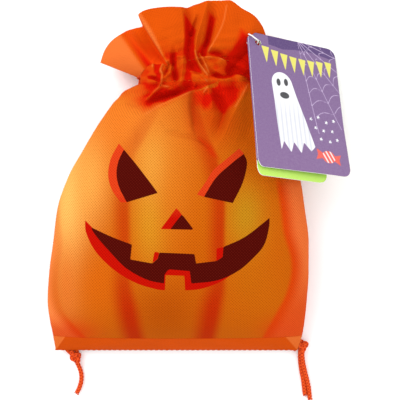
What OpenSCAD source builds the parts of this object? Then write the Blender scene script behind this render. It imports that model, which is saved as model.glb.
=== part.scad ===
// Drawstring sweets pouch lying on its back, with a folded card hang tag.
// The printed front faces +Z and the frilled mouth points along +Y.

/* [Pouch body] */
// Stretch of the body's width, 1 is a 176 mm wide pouch
body_width_scale = 1; // [0.9:0.01:1.1]
// Height of the filled body's crown above the surface it lies on
crown_height = 50; // [44:1:56]
// Thickness of a fabric wall
fabric_t = 1.2; // [0.8:0.1:1.6]

/* [Neck and frill] */
// Width of the gathered neck
neck_w = 77; // [72:1:82]
// Thickness of the gathered neck, front to back
neck_t = 28; // [27:0.5:29]
// Height of the drawstring casing
casing_h = 17; // [15:0.5:19]
// How far the frill stands above the casing
frill_h = 40; // [34:1:44]
// How far each side of the frill flares past the neck
frill_flare = 25; // [18:1:28]
// Depth of the frill's pleats
pleat_depth = 1.2; // [0:0.1:1.6]

/* [Drawcord] */
// Diameter of the drawcord
cord_d = 3.2; // [2.6:0.1:3.4]
// Diameter of the thread loop that carries the tag
string_d = 1.0; // [0.8:0.1:1.2]

/* [Hang tag] */
// Width of the tag's cover
tag_w = 69; // [60:1:72]
// Height of the tag's cover
tag_h = 96; // [85:1:98]
// Width of the narrower back leaf
leaf_w = 52; // [44:1:56]
// Thickness of the card
card_t = 0.6; // [0.4:0.1:0.8]
// Radius of the punched hole
hole_r = 2.2; // [2:0.1:2.6]
// Radius of the rounded corners
corner_r = 6; // [3:0.5:9]

/* [Stitching] */
// Length of one stitch
stitch_l = 2.4; // [1.8:0.1:3]
// Distance from one stitch to the next
stitch_pitch = 4; // [3.6:0.1:6]

/* [Hidden] */
$fn = 48;

orange = [0.93, 0.38, 0.05];
pumpkin = [0.90, 0.47, 0.08];
cord_red = [0.92, 0.31, 0.10];
thread_brown = [0.62, 0.20, 0.02];
violet = [0.45, 0.33, 0.58];
lime = [0.66, 0.80, 0.25];

// Stations along Y, from the crease above the bottom gusset to the neck
LEFT_EDGE = [[-90, -86], [-78.5, -87], [-68, -88.4], [-55, -89.5], [-35, -88.2], [-15, -85.5],
             [8, -82.5], [30, -75], [48, -65], [65, -55], [78, -46], [87, -40], [92, -26.5]];
RIGHT_EDGE = [[-90, 81.5], [-78.5, 84.3], [-68, 85.5], [-55, 86.5], [-35, 87.7], [-15, 87.7],
              [8, 85], [30, 81.5], [48, 74], [65, 66.5], [78, 60], [87, 55.5], [92, 50.5]];
SEAM_HEIGHT = [[-90, 5.5], [-78.5, 9], [-55, 13], [-15, 14], [48, 15.5], [92, 17]];
// Crown height at each station, as a share of crown_height
CROWN = [[-90, 0.11], [-85, 0.34], [-78.5, 0.52], [-68, 0.74], [-55, 0.88], [-35, 0.97], [-15, 1],
         [8, 0.98], [30, 0.92], [48, 0.85], [65, 0.77], [78, 0.7], [87, 0.65], [92, 0.62]];
BACK_LIFT = [[-90, 4], [-84, 2.3], [-78.5, 1], [-74, 0], [60, 0], [78, 1], [92, 3]];

BODY_ROWS = [-78.5, -73, -68, -62, -55, -45, -35, -15, 8, 30, 48, 65, 78, 87, 92];
BACK_ROWS = concat([-90, -88.8, -84], BODY_ROWS);
GUSSET_ROWS = [-90, -87.5, -85, -81.5, -78.5];
COLS = 28;
neck_x = 12;
neck_z = 17;
neck_r = neck_t / 2;
neck_half_straight = neck_w / 2 - neck_r;
neck_y = 92;
frill_y = neck_y + casing_h;
ply_t = 1;
tunnel_gap = 4;
cord_bend_r = neck_r - ply_t - tunnel_gap / 2;
left_cord_y = neck_y + 5.5;
right_cord_y = neck_y + casing_h - 5.5;
rim_half_t = 11.5;
exit_half = 6.2;

function mix(a, b, w) = a * (1 - w) + b * w;
function body_left(y) = body_width_scale * lookup(y, LEFT_EDGE);
function body_right(y) = body_width_scale * lookup(y, RIGHT_EDGE);
function seam_z(y) = lookup(y, SEAM_HEIGHT);
function crown_z(y) = max(seam_z(y), crown_height * lookup(y, CROWN));
function neck_share(y) = y < 78 ? 0 : pow((y - 78) / (neck_y - 78), 2);

// A point of the half stadium of radius r round the neck, u from 0 at the left to 1 at the right
function half_stadium(u, r, side) =
    let (arc = r * PI / 2, s = u * (2 * arc + 2 * neck_half_straight))
    s < arc
        ? [neck_x - neck_half_straight - r * cos(90 * s / arc), neck_z + side * r * sin(90 * s / arc)]
        : s < arc + 2 * neck_half_straight
            ? [neck_x - neck_half_straight + s - arc, neck_z + side * r]
            : let (a = 90 * (s - arc - 2 * neck_half_straight) / arc)
              [neck_x + neck_half_straight + r * sin(a), neck_z + side * r * cos(a)];

// The front's crowned section and the back's flat one, pulled in by the wall thickness t
function front_point(u, y, t) =
    let (mid = (body_left(y) + body_right(y)) / 2, half = (body_right(y) - body_left(y)) / 2 - t,
         a = 180 * (1 - u), c = cos(a),
         x = mid + half * sign(c) * pow(abs(c), 0.85),
         z = seam_z(y) + max(0, crown_z(y) - t - seam_z(y)) * pow(max(0, sin(a)), 0.75),
         n = half_stadium(u, neck_r - t, 1), w = neck_share(y))
    [mix(x, n[0], w), y, mix(z, n[1], w)];

function back_point(u, y, t) =
    let (mid = (body_left(y) + body_right(y)) / 2, half = (body_right(y) - body_left(y)) / 2 - t,
         f = -cos(180 * u), edge = max(0, (abs(f) - 0.5) / 0.5),
         low = lookup(y, BACK_LIFT) + t, rise = 1 - sqrt(max(0, 1 - edge * edge)),
         n = half_stadium(u, neck_r - t, -1), w = neck_share(y))
    [mix(mid + half * f, n[0], w), y, mix(mix(low, seam_z(y), rise), n[1], w)];

// A wall between an outer and an inner grid of points that share their row and column counts
module wall(outer, inner) {
    m = len(outer);
    n = len(outer[0]);
    base = m * n;
    polyhedron(
        points = concat([for (row = outer) each row], [for (row = inner) each row]),
        faces = concat(
            [for (i = [0 : m - 2], j = [0 : n - 2])
                each [[i * n + j, i * n + j + 1, (i + 1) * n + j + 1],
                      [i * n + j, (i + 1) * n + j + 1, (i + 1) * n + j]]],
            [for (i = [0 : m - 2], j = [0 : n - 2])
                each [[base + i * n + j, base + (i + 1) * n + j + 1, base + i * n + j + 1],
                      [base + i * n + j, base + (i + 1) * n + j, base + (i + 1) * n + j + 1]]],
            [for (j = [0 : n - 2])
                each [[j, base + j, base + j + 1], [j, base + j + 1, j + 1],
                      [(m - 1) * n + j, base + (m - 1) * n + j + 1, base + (m - 1) * n + j],
                      [(m - 1) * n + j, (m - 1) * n + j + 1, base + (m - 1) * n + j + 1]]],
            [for (i = [0 : m - 2])
                each [[i * n, (i + 1) * n, base + (i + 1) * n], [i * n, base + (i + 1) * n, base + i * n],
                      [i * n + n - 1, base + (i + 1) * n + n - 1, (i + 1) * n + n - 1],
                      [i * n + n - 1, base + i * n + n - 1, base + (i + 1) * n + n - 1]]]));
}

function flip(rows) = [for (row = rows) [for (j = [len(row) - 1 : -1 : 0]) row[j]]];

module front_panel() {
    color(pumpkin)
        wall(flip([for (y = BODY_ROWS) [for (j = [0 : COLS]) front_point(j / COLS, y, 0)]]),
             flip([for (y = BODY_ROWS) [for (j = [0 : COLS]) front_point(j / COLS, y, fabric_t)]]));
}

module back_panel() {
    color(orange)
        wall([for (y = BACK_ROWS) [for (j = [0 : COLS]) back_point(j / COLS, y, 0)]],
             [for (y = BACK_ROWS) [for (j = [0 : COLS]) back_point(j / COLS, y, fabric_t)]]);
}

// The lower edge's own wall runs from the bottom seam up to the crease
function gusset_inner(u, y) =
    let (p = front_point(u, y, fabric_t), pull = fabric_t * (1 - (y + 90) / 11.5))
    [p[0], y + pull, p[2]];

module bottom_gusset() {
    color(orange)
        wall(flip([for (y = GUSSET_ROWS) [for (j = [0 : COLS]) front_point(j / COLS, y, 0)]]),
             flip([for (y = GUSSET_ROWS) [for (j = [0 : COLS]) gusset_inner(j / COLS, y)]]));
}

// The turned-in allowance of a side seam, a ribbon inside the pouch at the height of the seam
module side_seam(side) {
    rows = [-74, -55, -35, -15, 8, 30, 48, 65, 76];
    near = fabric_t + 0.3;
    far = near + 6;
    color(orange)
        wall([for (y = rows) let (x = side < 0 ? body_left(y) + near : body_right(y) - far)
                 [[x, y, seam_z(y) - 0.5], [x + far - near, y, seam_z(y) - 0.5]]],
             [for (y = rows) let (x = side < 0 ? body_left(y) + near : body_right(y) - far)
                 [[x, y, seam_z(y) + 0.5], [x + far - near, y, seam_z(y) + 0.5]]]);
}
module left_side_seam() { side_seam(-1); }
module right_side_seam() { side_seam(1); }

// The neck's outline at radius r, drawn in the plane across Y
module stadium(r) {
    square([2 * neck_half_straight, 2 * r], center = true);
    for (side = [-1, 1]) translate([side * neck_half_straight, 0]) circle(r = r, $fn = 96);
}

module neck_ring(r_out, r_in, y_low, y_high) {
    translate([neck_x, y_high, neck_z]) rotate([90, 0, 0]) linear_extrude(y_high - y_low)
        difference() {
            stadium(r_out);
            stadium(r_in);
        }
}

// Half of the drawcord's casing: two plies with a tunnel between them, open at both side seams
module casing(side) {
    depth = neck_r + 2;
    color(orange) intersection() {
        difference() {
            neck_ring(neck_r, neck_r - 2 * ply_t - tunnel_gap, neck_y, frill_y);
            neck_ring(neck_r - ply_t, neck_r - ply_t - tunnel_gap, neck_y + 2, frill_y - 2);
            for (end = [-1, 1])
                translate([neck_x + end * (neck_w / 2 - 2), neck_y + casing_h / 2, neck_z])
                    cube([8, casing_h - 6, 2 * exit_half], center = true);
        }
        translate([neck_x - neck_w, neck_y - 1, side > 0 ? neck_z : neck_z - depth])
            cube([2 * neck_w, casing_h + 2, depth]);
    }
}
module front_casing() { casing(1); }
module back_casing() { casing(-1); }

// A point of the frill, v from 0 at the casing to 1 at the free edge
function frill_point(u, v, side, t) =
    let (n = half_stadium(u, neck_r - t, side), a = 180 * (1 - u),
         rim_x = neck_x - 7 + (neck_w / 2 + frill_flare - 4.5 - t) * cos(a),
         rim_y = frill_y - 1 + frill_h * pow(max(0, sin(a)), 0.8),
         rim_z = neck_z + side * (rim_half_t - t) * sin(a),
         pleat = pleat_depth * v * max(0, sin(a)) * cos(18 * a))
    [mix(n[0], rim_x, v), mix(frill_y, rim_y, v), mix(n[1], rim_z, v) + pleat];

module frill(side) {
    steps = 5;
    cols = 60;
    outer = [for (i = [0 : steps]) [for (j = [0 : cols]) frill_point(j / cols, i / steps, side, 0)]];
    inner = [for (i = [0 : steps]) [for (j = [0 : cols]) frill_point(j / cols, i / steps, side, ply_t)]];
    color(orange)
        if (side > 0) wall(flip(outer), flip(inner));
        else wall(outer, inner);
}
module front_frill() { frill(1); }
module back_frill() { frill(-1); }

// Two rows of stitches along the casing's flat stretch, one under and one over the tunnel
module casing_stitching(side) {
    count = floor(2 * neck_half_straight / stitch_pitch);
    color(thread_brown)
        for (y = [neck_y + 1, frill_y - 1], i = [0 : count - 1])
            translate([neck_x + (i - (count - 1) / 2) * stitch_pitch, y, neck_z + side * (neck_r + 0.2)])
                cube([stitch_l, 0.5, 0.4], center = true);
}
module front_casing_stitching() { casing_stitching(1); }
module back_casing_stitching() { casing_stitching(-1); }

// The run of stitches that closes the bottom edge, just outside the seam
module bottom_seam_stitching() {
    span = body_right(-90) - body_left(-90) - 24;
    count = floor(span / stitch_pitch);
    color(thread_brown)
        for (i = [0 : count - 1])
            translate([(body_left(-90) + body_right(-90)) / 2 + (i - (count - 1) / 2) * stitch_pitch,
                       -90.2, 5.3])
                cube([stitch_l, 0.4, 0.5], center = true);
}

// A cord's full turn round the neck inside the casing, open where its two runs leave
module cord_loop(y, open_side) {
    opening = 16;
    color(cord_red) translate([neck_x, y, neck_z]) rotate([90, 0, 0]) {
        for (side = [-1, 1])
            translate([-neck_half_straight, side * cord_bend_r, 0]) rotate([0, 90, 0])
                cylinder(d = cord_d, h = 2 * neck_half_straight);
        translate([-open_side * neck_half_straight, 0, 0])
            rotate([0, 0, open_side > 0 ? 90 : -90]) rotate_extrude(angle = 180)
                translate([cord_bend_r, 0]) circle(d = cord_d, $fn = 32);
        for (side = [-1, 1])
            translate([open_side * neck_half_straight, 0, 0]) scale([open_side, side, 1])
                rotate([0, 0, opening]) rotate_extrude(angle = 90 - opening)
                    translate([cord_bend_r, 0]) circle(d = cord_d, $fn = 32);
    }
}
module left_cord_loop() { cord_loop(left_cord_y, -1); }
module right_cord_loop() { cord_loop(right_cord_y, 1); }

// Routes of the cords, each from where it leaves the casing or the corner tab
LEFT_FRONT_RUN = [[-23.1, 97.5, 20], [-26.9, 98.4, 19], [-28.7, 98.2, 15], [-28.8, 97.2, 9.5], [-30, 92.5, 4.5],
                  [-36, 82, 2], [-47, 66, 1.7], [-60, 48, 1.7], [-75, 16, 1.7], [-79.5, -17, 1.7],
                  [-81.5, -50, 1.7], [-82.1, -72, 1.8], [-82.2, -86.5, 1.95], [-77.9, -91.2, 2]];
LEFT_BACK_RUN = [[-23.1, 97.5, 14], [-26.4, 96.4, 12], [-26, 94.2, 7], [-25.4, 90, 3.2], [-31, 81, 1.7],
                 [-43, 64.5, 1.7], [-56, 46.5, 1.7], [-71, 15, 1.7], [-75.5, -17, 1.7], [-77.5, -50, 1.7],
                 [-78.4, -72, 1.8], [-78.6, -87, 1.95], [-74.7, -90.2, 2]];
RIGHT_FRONT_RUN = [[47.1, 103.5, 20], [50.9, 104.4, 19], [52.7, 104.2, 15], [52.8, 103.2, 9.5], [53.4, 95, 4.5],
                   [55, 83, 2], [62, 66, 1.7], [70, 48, 1.7], [79, 16, 1.7], [82.5, -17, 1.7],
                   [81.5, -50, 1.7], [80.5, -70, 1.8], [79.9, -84.6, 1.95], [81.4, -87.2, 2]];
RIGHT_BACK_RUN = [[47.1, 103.5, 14], [50.4, 102.4, 12], [50, 100.2, 7], [49.4, 94, 3.2], [50.8, 82, 1.7],
                  [58, 64.5, 1.7], [66, 46.5, 1.7], [75, 15, 1.7], [78.5, -17, 1.7], [77.5, -50, 1.7],
                  [76.4, -70, 1.8], [76.1, -84.6, 1.95], [78, -88.4, 2], [81, -90.3, 2]];
LEFT_TAIL = [[-72.6, -93, 3.6], [-72.4, -98, 3], [-71, -102.6, 1.9], [-69.6, -107, 1.7],
             [-69.2, -112, 1.7], [-70.2, -117, 1.7], [-72.6, -121.4, 1.7]];
RIGHT_TAIL_INNER = [[85.4, -85, 3.6], [84.6, -92, 2.6], [83.8, -98, 1.7], [84.8, -106, 1.7],
                    [86.6, -113, 1.7], [87, -121, 1.7]];
RIGHT_TAIL_OUTER = [[88, -86, 3.6], [88, -92.5, 2.6], [87.3, -98.5, 1.7], [88.4, -106, 1.7],
                    [90.2, -113, 1.7], [91, -124.4, 1.7]];

function unit(v) = v / norm(v);
function tangent(path, i) = unit(path[min(i + 1, len(path) - 1)] - path[max(i - 1, 0)]);

// A plain tube of diameter d along a path that never runs straight up
module tube(path, d, sides = 8) {
    n = len(path);
    rings = [for (i = [0 : n - 1])
        let (t = tangent(path, i), a = unit(cross([0, 0, 1], t)), b = cross(t, a))
        [for (k = [0 : sides - 1]) path[i] + d / 2 * (cos(360 * k / sides) * a + sin(360 * k / sides) * b)]];
    polyhedron(
        points = [for (ring = rings) each ring],
        faces = concat(
            [[for (k = [sides - 1 : -1 : 0]) k]],
            [[for (k = [0 : sides - 1]) (n - 1) * sides + k]],
            [for (i = [0 : n - 2], k = [0 : sides - 1])
                let (k2 = (k + 1) % sides)
                each [[i * sides + k, i * sides + k2, (i + 1) * sides + k2],
                      [i * sides + k, (i + 1) * sides + k2, (i + 1) * sides + k]]]));
}

module left_cord_front_run() { color(cord_red) tube(LEFT_FRONT_RUN, cord_d); }
module left_cord_back_run() { color(cord_red) tube(LEFT_BACK_RUN, cord_d); }
module right_cord_front_run() { color(cord_red) tube(RIGHT_FRONT_RUN, cord_d); }
module right_cord_back_run() { color(cord_red) tube(RIGHT_BACK_RUN, cord_d); }
module left_tail() { color(cord_red) tube(LEFT_TAIL, cord_d); }
module right_tail_inner() { color(cord_red) tube(RIGHT_TAIL_INNER, cord_d); }
module right_tail_outer() { color(cord_red) tube(RIGHT_TAIL_OUTER, cord_d); }

// A flat loop of fabric under a bottom corner, which the two runs of a cord pass through
module corner_tab(x, y) {
    inside_w = 8.4;
    inside_h = 3.25;
    tape_t = 0.3;
    tape_w = 5;
    color(orange) translate([x, y, tape_t + inside_h / 2]) rotate([90, 0, 0])
        linear_extrude(tape_w, center = true) difference() {
            square([inside_w + 2 * tape_t, inside_h + 2 * tape_t], center = true);
            square([inside_w, inside_h], center = true);
        }
}
module left_corner_tab() { corner_tab(-80.4, -84.5); }
module right_corner_tab() { corner_tab(78, -82); }

// An overhand knot, drawn as a fat ring with a rounded core
module knot(x, y, turn, length) {
    ring_r = 2;
    strand_d = 3;
    color(cord_red) translate([x, y, ring_r + strand_d / 2 + 0.1]) rotate([90, 0, turn]) {
        rotate_extrude() translate([ring_r, 0]) circle(d = strand_d, $fn = 24);
        cylinder(d = 2 * ring_r + 1.4, h = length, center = true);
    }
}
module left_knot() { knot(-72.6, -95, 10, 6); }
module right_knot() { knot(87, -87, -12, 7); }

TAG_POS = [52, 118, 29.8];
TAG_TURN = [-21.5, 25.5, -6.5];
hole_inset = 7;

module in_tag_frame() { translate(TAG_POS) rotate(TAG_TURN) children(); }

// A card leaf with its punched hole at the origin and rounded corners
module leaf(w, h, z_low, inset_left) {
    x0 = -hole_inset + inset_left;
    translate([0, 0, z_low]) linear_extrude(card_t) difference() {
        union() {
            translate([x0 + corner_r, hole_inset - h]) square([w - inset_left - 2 * corner_r, h]);
            translate([x0, hole_inset - h + corner_r]) square([w - inset_left, h - 2 * corner_r]);
            for (x = [x0 + corner_r, x0 + w - inset_left - corner_r],
                 y = [hole_inset - corner_r, hole_inset - h + corner_r])
                translate([x, y]) circle(r = corner_r);
        }
        circle(r = hole_r);
    }
}

module tag_cover() {
    color(violet) in_tag_frame() leaf(tag_w, tag_h, 0.4, 0.8);
}

// The back leaf carries the rounded fold along its left edge
module tag_back_leaf() {
    color(lime) in_tag_frame() {
        leaf(leaf_w, tag_h + 5, -card_t - 0.4, 0);
        translate([-hole_inset, hole_inset - tag_h + corner_r, 0]) rotate([-90, 0, 0])
            cylinder(r = 0.6, h = tag_h - 2 * corner_r);
    }
}

// The thread passes up through both holes and runs back to the casing at each end
STRING_PATH = [[42, 109.4, 31.5], [42, 113, 32.1], [42.5, 118, 31.8], [43.7, 121.4, 31.7], [45.2, 123.5, 32.3],
               [47.8, 122.3, 33.8], [50.4, 120.4, 34.4], [52.3, 119.3, 33.1], [52, 118, 29.8],
               [50.9, 117.2, 27.8], [49, 114.3, 28], [47.3, 111.7, 28.6], [46.8, 109.4, 27.9]];
module tag_string() { color("white") tube(STRING_PATH, string_d); }

front_panel();
back_panel();
bottom_gusset();
left_side_seam();
right_side_seam();
front_casing();
back_casing();
front_frill();
back_frill();
front_casing_stitching();
back_casing_stitching();
bottom_seam_stitching();
left_cord_loop();
right_cord_loop();
left_cord_front_run();
left_cord_back_run();
right_cord_front_run();
right_cord_back_run();
left_corner_tab();
right_corner_tab();
left_knot();
right_knot();
left_tail();
right_tail_inner();
right_tail_outer();
tag_cover();
tag_back_leaf();
tag_string();
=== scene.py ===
"""Printed drawstring sweets pouch with a frilled mouth and a folded card hang tag.

Lengths are millimetres in the row frame until a mesh is made. The pouch lies on its back,
its printed front faces +Z and its mouth points along +Y.
"""

import math
import random

import bpy
import numpy as np
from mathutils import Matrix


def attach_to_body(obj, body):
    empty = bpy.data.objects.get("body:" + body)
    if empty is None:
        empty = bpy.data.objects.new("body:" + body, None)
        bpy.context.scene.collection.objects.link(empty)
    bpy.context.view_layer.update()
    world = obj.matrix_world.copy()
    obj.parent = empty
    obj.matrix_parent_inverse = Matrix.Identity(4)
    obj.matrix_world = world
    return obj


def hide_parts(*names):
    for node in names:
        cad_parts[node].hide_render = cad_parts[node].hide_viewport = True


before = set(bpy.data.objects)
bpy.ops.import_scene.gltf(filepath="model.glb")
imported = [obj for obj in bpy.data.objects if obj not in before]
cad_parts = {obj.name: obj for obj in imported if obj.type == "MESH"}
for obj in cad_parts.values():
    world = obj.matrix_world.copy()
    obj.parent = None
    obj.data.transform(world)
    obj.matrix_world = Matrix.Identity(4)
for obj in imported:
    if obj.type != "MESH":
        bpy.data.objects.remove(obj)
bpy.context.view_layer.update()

MM = 0.001
CLOTH_T = 0.5

# ---------------------------------------------------------------- camera and lights

CAMERA_X = 14
CAMERA_Y = 14
CAMERA_HEIGHT = 560
SENSOR_WIDTH = 36
FOCAL_LENGTH = 72


def make_camera():
    data = bpy.data.cameras.new("camera")
    data.sensor_width = SENSOR_WIDTH
    data.lens = FOCAL_LENGTH
    camera = bpy.data.objects.new("camera", data)
    camera.location = (CAMERA_X * MM, CAMERA_Y * MM, CAMERA_HEIGHT * MM)
    bpy.context.collection.objects.link(camera)
    bpy.context.scene.camera = camera


def area_light(name, place, size, energy, colour=(1, 1, 1)):
    data = bpy.data.lights.new(name, "AREA")
    data.size = size
    data.energy = energy
    data.color = colour
    light = bpy.data.objects.new(name, data)
    light.location = place
    # an area light shines along its own -Z, which is turned to face the object
    aim = -np.array(place, float)
    light.rotation_euler = (
        math.atan2(math.hypot(aim[0], aim[1]), -aim[2]),
        0,
        math.atan2(aim[0], -aim[1]) + math.pi,
    )
    bpy.context.collection.objects.link(light)


def make_lighting():
    world = bpy.data.worlds.new("studio")
    bpy.context.scene.world = world
    world.use_nodes = True
    background = world.node_tree.nodes["Background"]
    background.inputs["Color"].default_value = (1, 1, 1, 1)
    background.inputs["Strength"].default_value = 1.12
    area_light("key", (-0.55, 0.5, 0.75), 0.6, 5.5)
    area_light("fill", (0.7, -0.2, 0.9), 0.9, 2.5)
    bpy.context.scene.view_settings.view_transform = "Standard"


# ---------------------------------------------------------------- shader helpers


def shader_node(tree, kind, inputs=None, **settings):
    """A node of that kind. An input's value is either a constant or another node's socket."""
    node = tree.nodes.new("ShaderNode" + kind)
    for key, value in settings.items():
        setattr(node, key, value)
    for key, value in (inputs or {}).items():
        if isinstance(value, bpy.types.NodeSocket):
            tree.links.new(value, node.inputs[key])
        else:
            node.inputs[key].default_value = value
    return node


def math_node(tree, operation, *values):
    node = shader_node(tree, "Math", dict(enumerate(values)), operation=operation)
    return node.outputs[0]


def mix_colour(tree, factor, first, second, blend="MIX"):
    node = shader_node(tree, "Mix", data_type="RGBA", blend_type=blend)
    for key, value in (("Factor_Float", factor), ("A_Color", first), ("B_Color", second)):
        socket = next(s for s in node.inputs if s.identifier == key)
        if isinstance(value, bpy.types.NodeSocket):
            tree.links.new(value, socket)
        else:
            socket.default_value = value if key == "Factor_Float" else (*value, 1)
    return next(s for s in node.outputs if s.identifier == "Result_Color")


def attribute(tree, name):
    return shader_node(tree, "Attribute", attribute_name=name)


def number(tree, name):
    return attribute(tree, name).outputs["Fac"]


def cloth_place(tree):
    """The place on the flat cloth, in millimetres."""
    return attribute(tree, "cloth").outputs["Vector"]


def cloth_axis(tree, axis):
    return shader_node(tree, "SeparateXYZ", {0: cloth_place(tree)}).outputs[axis]


def cloth_noise(tree, scale, detail):
    inputs = {"Vector": cloth_place(tree), "Scale": scale, "Detail": detail}
    return shader_node(tree, "TexNoise", inputs).outputs[0]


def put_on(tree, bsdf, colour, height=None, strength=0.35, distance=0.0003):
    """Give the surface its colour and, where there is a height, a bump of that distance in metres."""
    tree.links.new(colour, bsdf.inputs["Base Color"])
    if height:
        inputs = {"Height": height, "Strength": strength, "Distance": distance}
        tree.links.new(shader_node(tree, "Bump", inputs).outputs[0], bsdf.inputs["Normal"])


def ramp(tree, value, low, high, to_low=0.0, to_high=1.0):
    """value carried from low..high to to_low..to_high and held at the ends."""
    inputs = {"Value": value, "From Min": low, "From Max": high, "To Min": to_low, "To Max": to_high}
    return shader_node(tree, "MapRange", inputs, clamp=True).outputs[0]


def new_material(name, roughness, specular=0.3):
    material = bpy.data.materials.new(name)
    material.use_nodes = True
    bsdf = material.node_tree.nodes["Principled BSDF"]
    bsdf.inputs["Roughness"].default_value = roughness
    bsdf.inputs["Specular IOR Level"].default_value = specular
    return material, material.node_tree, bsdf


EMBOSS_PITCH = 1.35


def nonwoven_relief(tree):
    """(embossed dots, fibre streaks) of spunbond cloth, both 0 to 1, in the flat cloth's millimetres."""
    axes = cloth_axis(tree, 0), cloth_axis(tree, 1)
    turn = 2 * math.pi / (EMBOSS_PITCH * math.sqrt(2))
    along = math_node(tree, "ADD", *axes)
    across = math_node(tree, "SUBTRACT", *axes)
    waves = [math_node(tree, "COSINE", math_node(tree, "MULTIPLY", v, turn)) for v in (along, across)]
    dots = ramp(tree, math_node(tree, "ADD", *waves), 0.5, 1.5)
    place = {"Vector": cloth_place(tree), "Scale": (1.0, 0.35, 1.0)}
    stretched = shader_node(tree, "Mapping", place).outputs[0]
    inputs = {"Vector": stretched, "Scale": 2.6, "Detail": 4.0, "Roughness": 0.65}
    return dots, shader_node(tree, "TexNoise", inputs).outputs[0]


def nonwoven(name, tint, dot_depth):
    """Spunbond cloth. tint(tree) gives the colour before the emboss, the fibres and the folds' painted
    shade and highlights.
    """
    material, tree, bsdf = new_material(name, roughness=0.85, specular=0.02)
    dots, fibres = nonwoven_relief(tree)
    colour = tint(tree)
    shade = number(tree, "shade")
    # painted shade: deep red where "shade" is below 0; painted highlight: pale orange where it is above 0
    colour = mix_colour(tree, ramp(tree, shade, 0, -1), colour, PAINTED_SHADE_RED)
    colour = mix_colour(tree, ramp(tree, shade, 0, 1, 0, 0.85), colour, PAINTED_HIGHLIGHT_ORANGE)
    streak = ramp(tree, fibres, 0.3, 0.7, 0.84, 1.04)
    streak_grey = shader_node(tree, "CombineColor", dict.fromkeys(range(3), streak)).outputs[0]
    colour = mix_colour(tree, 1.0, colour, streak_grey, "MULTIPLY")
    dot_share = math_node(tree, "MULTIPLY", dots, dot_depth)
    colour = mix_colour(tree, dot_share, colour, (0.62, 0.5, 0.4), "MULTIPLY")
    height = math_node(tree, "SUBTRACT", math_node(tree, "MULTIPLY", fibres, 0.35), dots)
    put_on(tree, bsdf, colour, height)
    # painted glow: an emission in the folds stands in for the light that comes through the thin cloth,
    # and "glow" adds painted light that a piece gets beside that
    tree.links.new(colour, bsdf.inputs["Emission Color"])
    in_folds = ramp(tree, shade, 0, -1, 0.0, 0.15)
    glow = math_node(tree, "ADD", in_folds, number(tree, "glow"))
    tree.links.new(glow, bsdf.inputs["Emission Strength"])
    return material


# linear RGB
ORANGE = (0.60, 0.072, 0.002)
# painted shade in the folds, and painted highlight on the edges that catch the light
PAINTED_SHADE_RED = (0.49, 0.0055, 0.0004)
PAINTED_HIGHLIGHT_ORANGE = (0.72, 0.17, 0.034)
MAROON = (0.058, 0.0014, 0.0006)
MAROON_DOT = (0.150, 0.012, 0.006)
EYE_RED = (0.58, 0.040, 0.007)
MOUTH_RED = (0.46, 0.004, 0.0006)


def plain_tint(colour):
    def tint(tree):
        mottle = ramp(tree, cloth_noise(tree, 0.05, 2.0), 0.35, 0.7, 0, 0.35)
        return mix_colour(tree, mottle, colour, tuple(c * 0.8 for c in colour))

    return tint


def printed_tint(tree):
    """The pumpkin's ink, with the carved red rim and the dark openings cut at their outlines."""
    colour = attribute(tree, "ink").outputs["Color"]
    dots, _ = nonwoven_relief(tree)
    reds = mix_colour(tree, ramp(tree, cloth_axis(tree, 1), 88, 104), MOUTH_RED, EYE_RED)
    maroons = mix_colour(tree, dots, MAROON, MAROON_DOT)
    for name, ink in (("rim", reds), ("opening", maroons)):
        inside = ramp(tree, number(tree, name), 0.12, -0.12)
        colour = mix_colour(tree, inside, colour, ink)
    return colour


# ---------------------------------------------------------------- mesh helpers


def new_object(name, mesh, materials):
    for material in materials:
        mesh.materials.append(material)
    mesh.shade_smooth()
    piece = bpy.data.objects.new(name, mesh)
    bpy.context.collection.objects.link(piece)
    return piece


def attach(piece, body, nodes):
    """Say which body the piece rides on and which CAD nodes it stands for."""
    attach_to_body(piece, body)
    if nodes:
        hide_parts(*nodes)


# How a mesh keeps 1, 3 or 4 numbers for each point
FIELDS = {1: ("FLOAT", "value"), 3: ("FLOAT_VECTOR", "vector"), 4: ("FLOAT_COLOR", "color")}


def mesh_piece(name, points, faces, materials, **attributes):
    """A mesh object from millimetre points. Attributes are per-point numbers, vectors or colours."""
    mesh = bpy.data.meshes.new(name)
    mesh.from_pydata((np.asarray(points, float) * MM).tolist(), [], [list(map(int, f)) for f in faces])
    for key, values in attributes.items():
        values = np.asarray(values, np.float32).reshape(len(points), -1)
        kind, field = FIELDS[values.shape[1]]
        mesh.attributes.new(key, kind, "POINT").data.foreach_set(field, values.ravel())
    mesh.update()
    return new_object(name, mesh, materials)


def grid_faces(rows, cols, flip=False):
    i, j = np.meshgrid(np.arange(rows - 1), np.arange(cols - 1), indexing="ij")
    a = (i * cols + j).ravel()
    faces = np.stack([a, a + 1, a + cols + 1, a + cols], axis=1)
    return faces[:, ::-1] if flip else faces


def steps(grid, axis):
    """Distances between the neighbouring points of a (rows, cols, 3) grid."""
    return np.linalg.norm(np.diff(grid, axis=axis), axis=2)


def cloth_coordinates(grid):
    """Millimetres along the cloth from the middle of a (rows, cols, 3) grid, as if it were laid flat."""
    across = steps(grid, 1)
    across = np.concatenate([np.zeros((grid.shape[0], 1)), np.cumsum(across, axis=1)], axis=1)
    across -= across[:, [across.shape[1] // 2]]
    along = steps(grid, 0)
    along = np.concatenate([np.zeros((1, grid.shape[1])), np.cumsum(along, axis=0)], axis=0)
    along = 0.5 * along + 0.5 * along[:, [along.shape[1] // 2]]
    return np.stack([across, along, np.zeros_like(across)], axis=2).reshape(-1, 3)


def sheet_piece(name, grid, material, thickness, shade=None, flip=False, **attributes):
    """A sheet of cloth on a (rows, cols, 3) grid, thickened away from its face."""
    rows, cols, _ = grid.shape
    shade = np.zeros(rows * cols) if shade is None else shade
    piece = mesh_piece(name, grid.reshape(-1, 3), grid_faces(rows, cols, flip), [material],
                       cloth=cloth_coordinates(grid), shade=shade, **attributes)
    solid = piece.modifiers.new("thickness", "SOLIDIFY")
    solid.thickness = thickness * MM
    solid.offset = -1
    return piece


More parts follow.
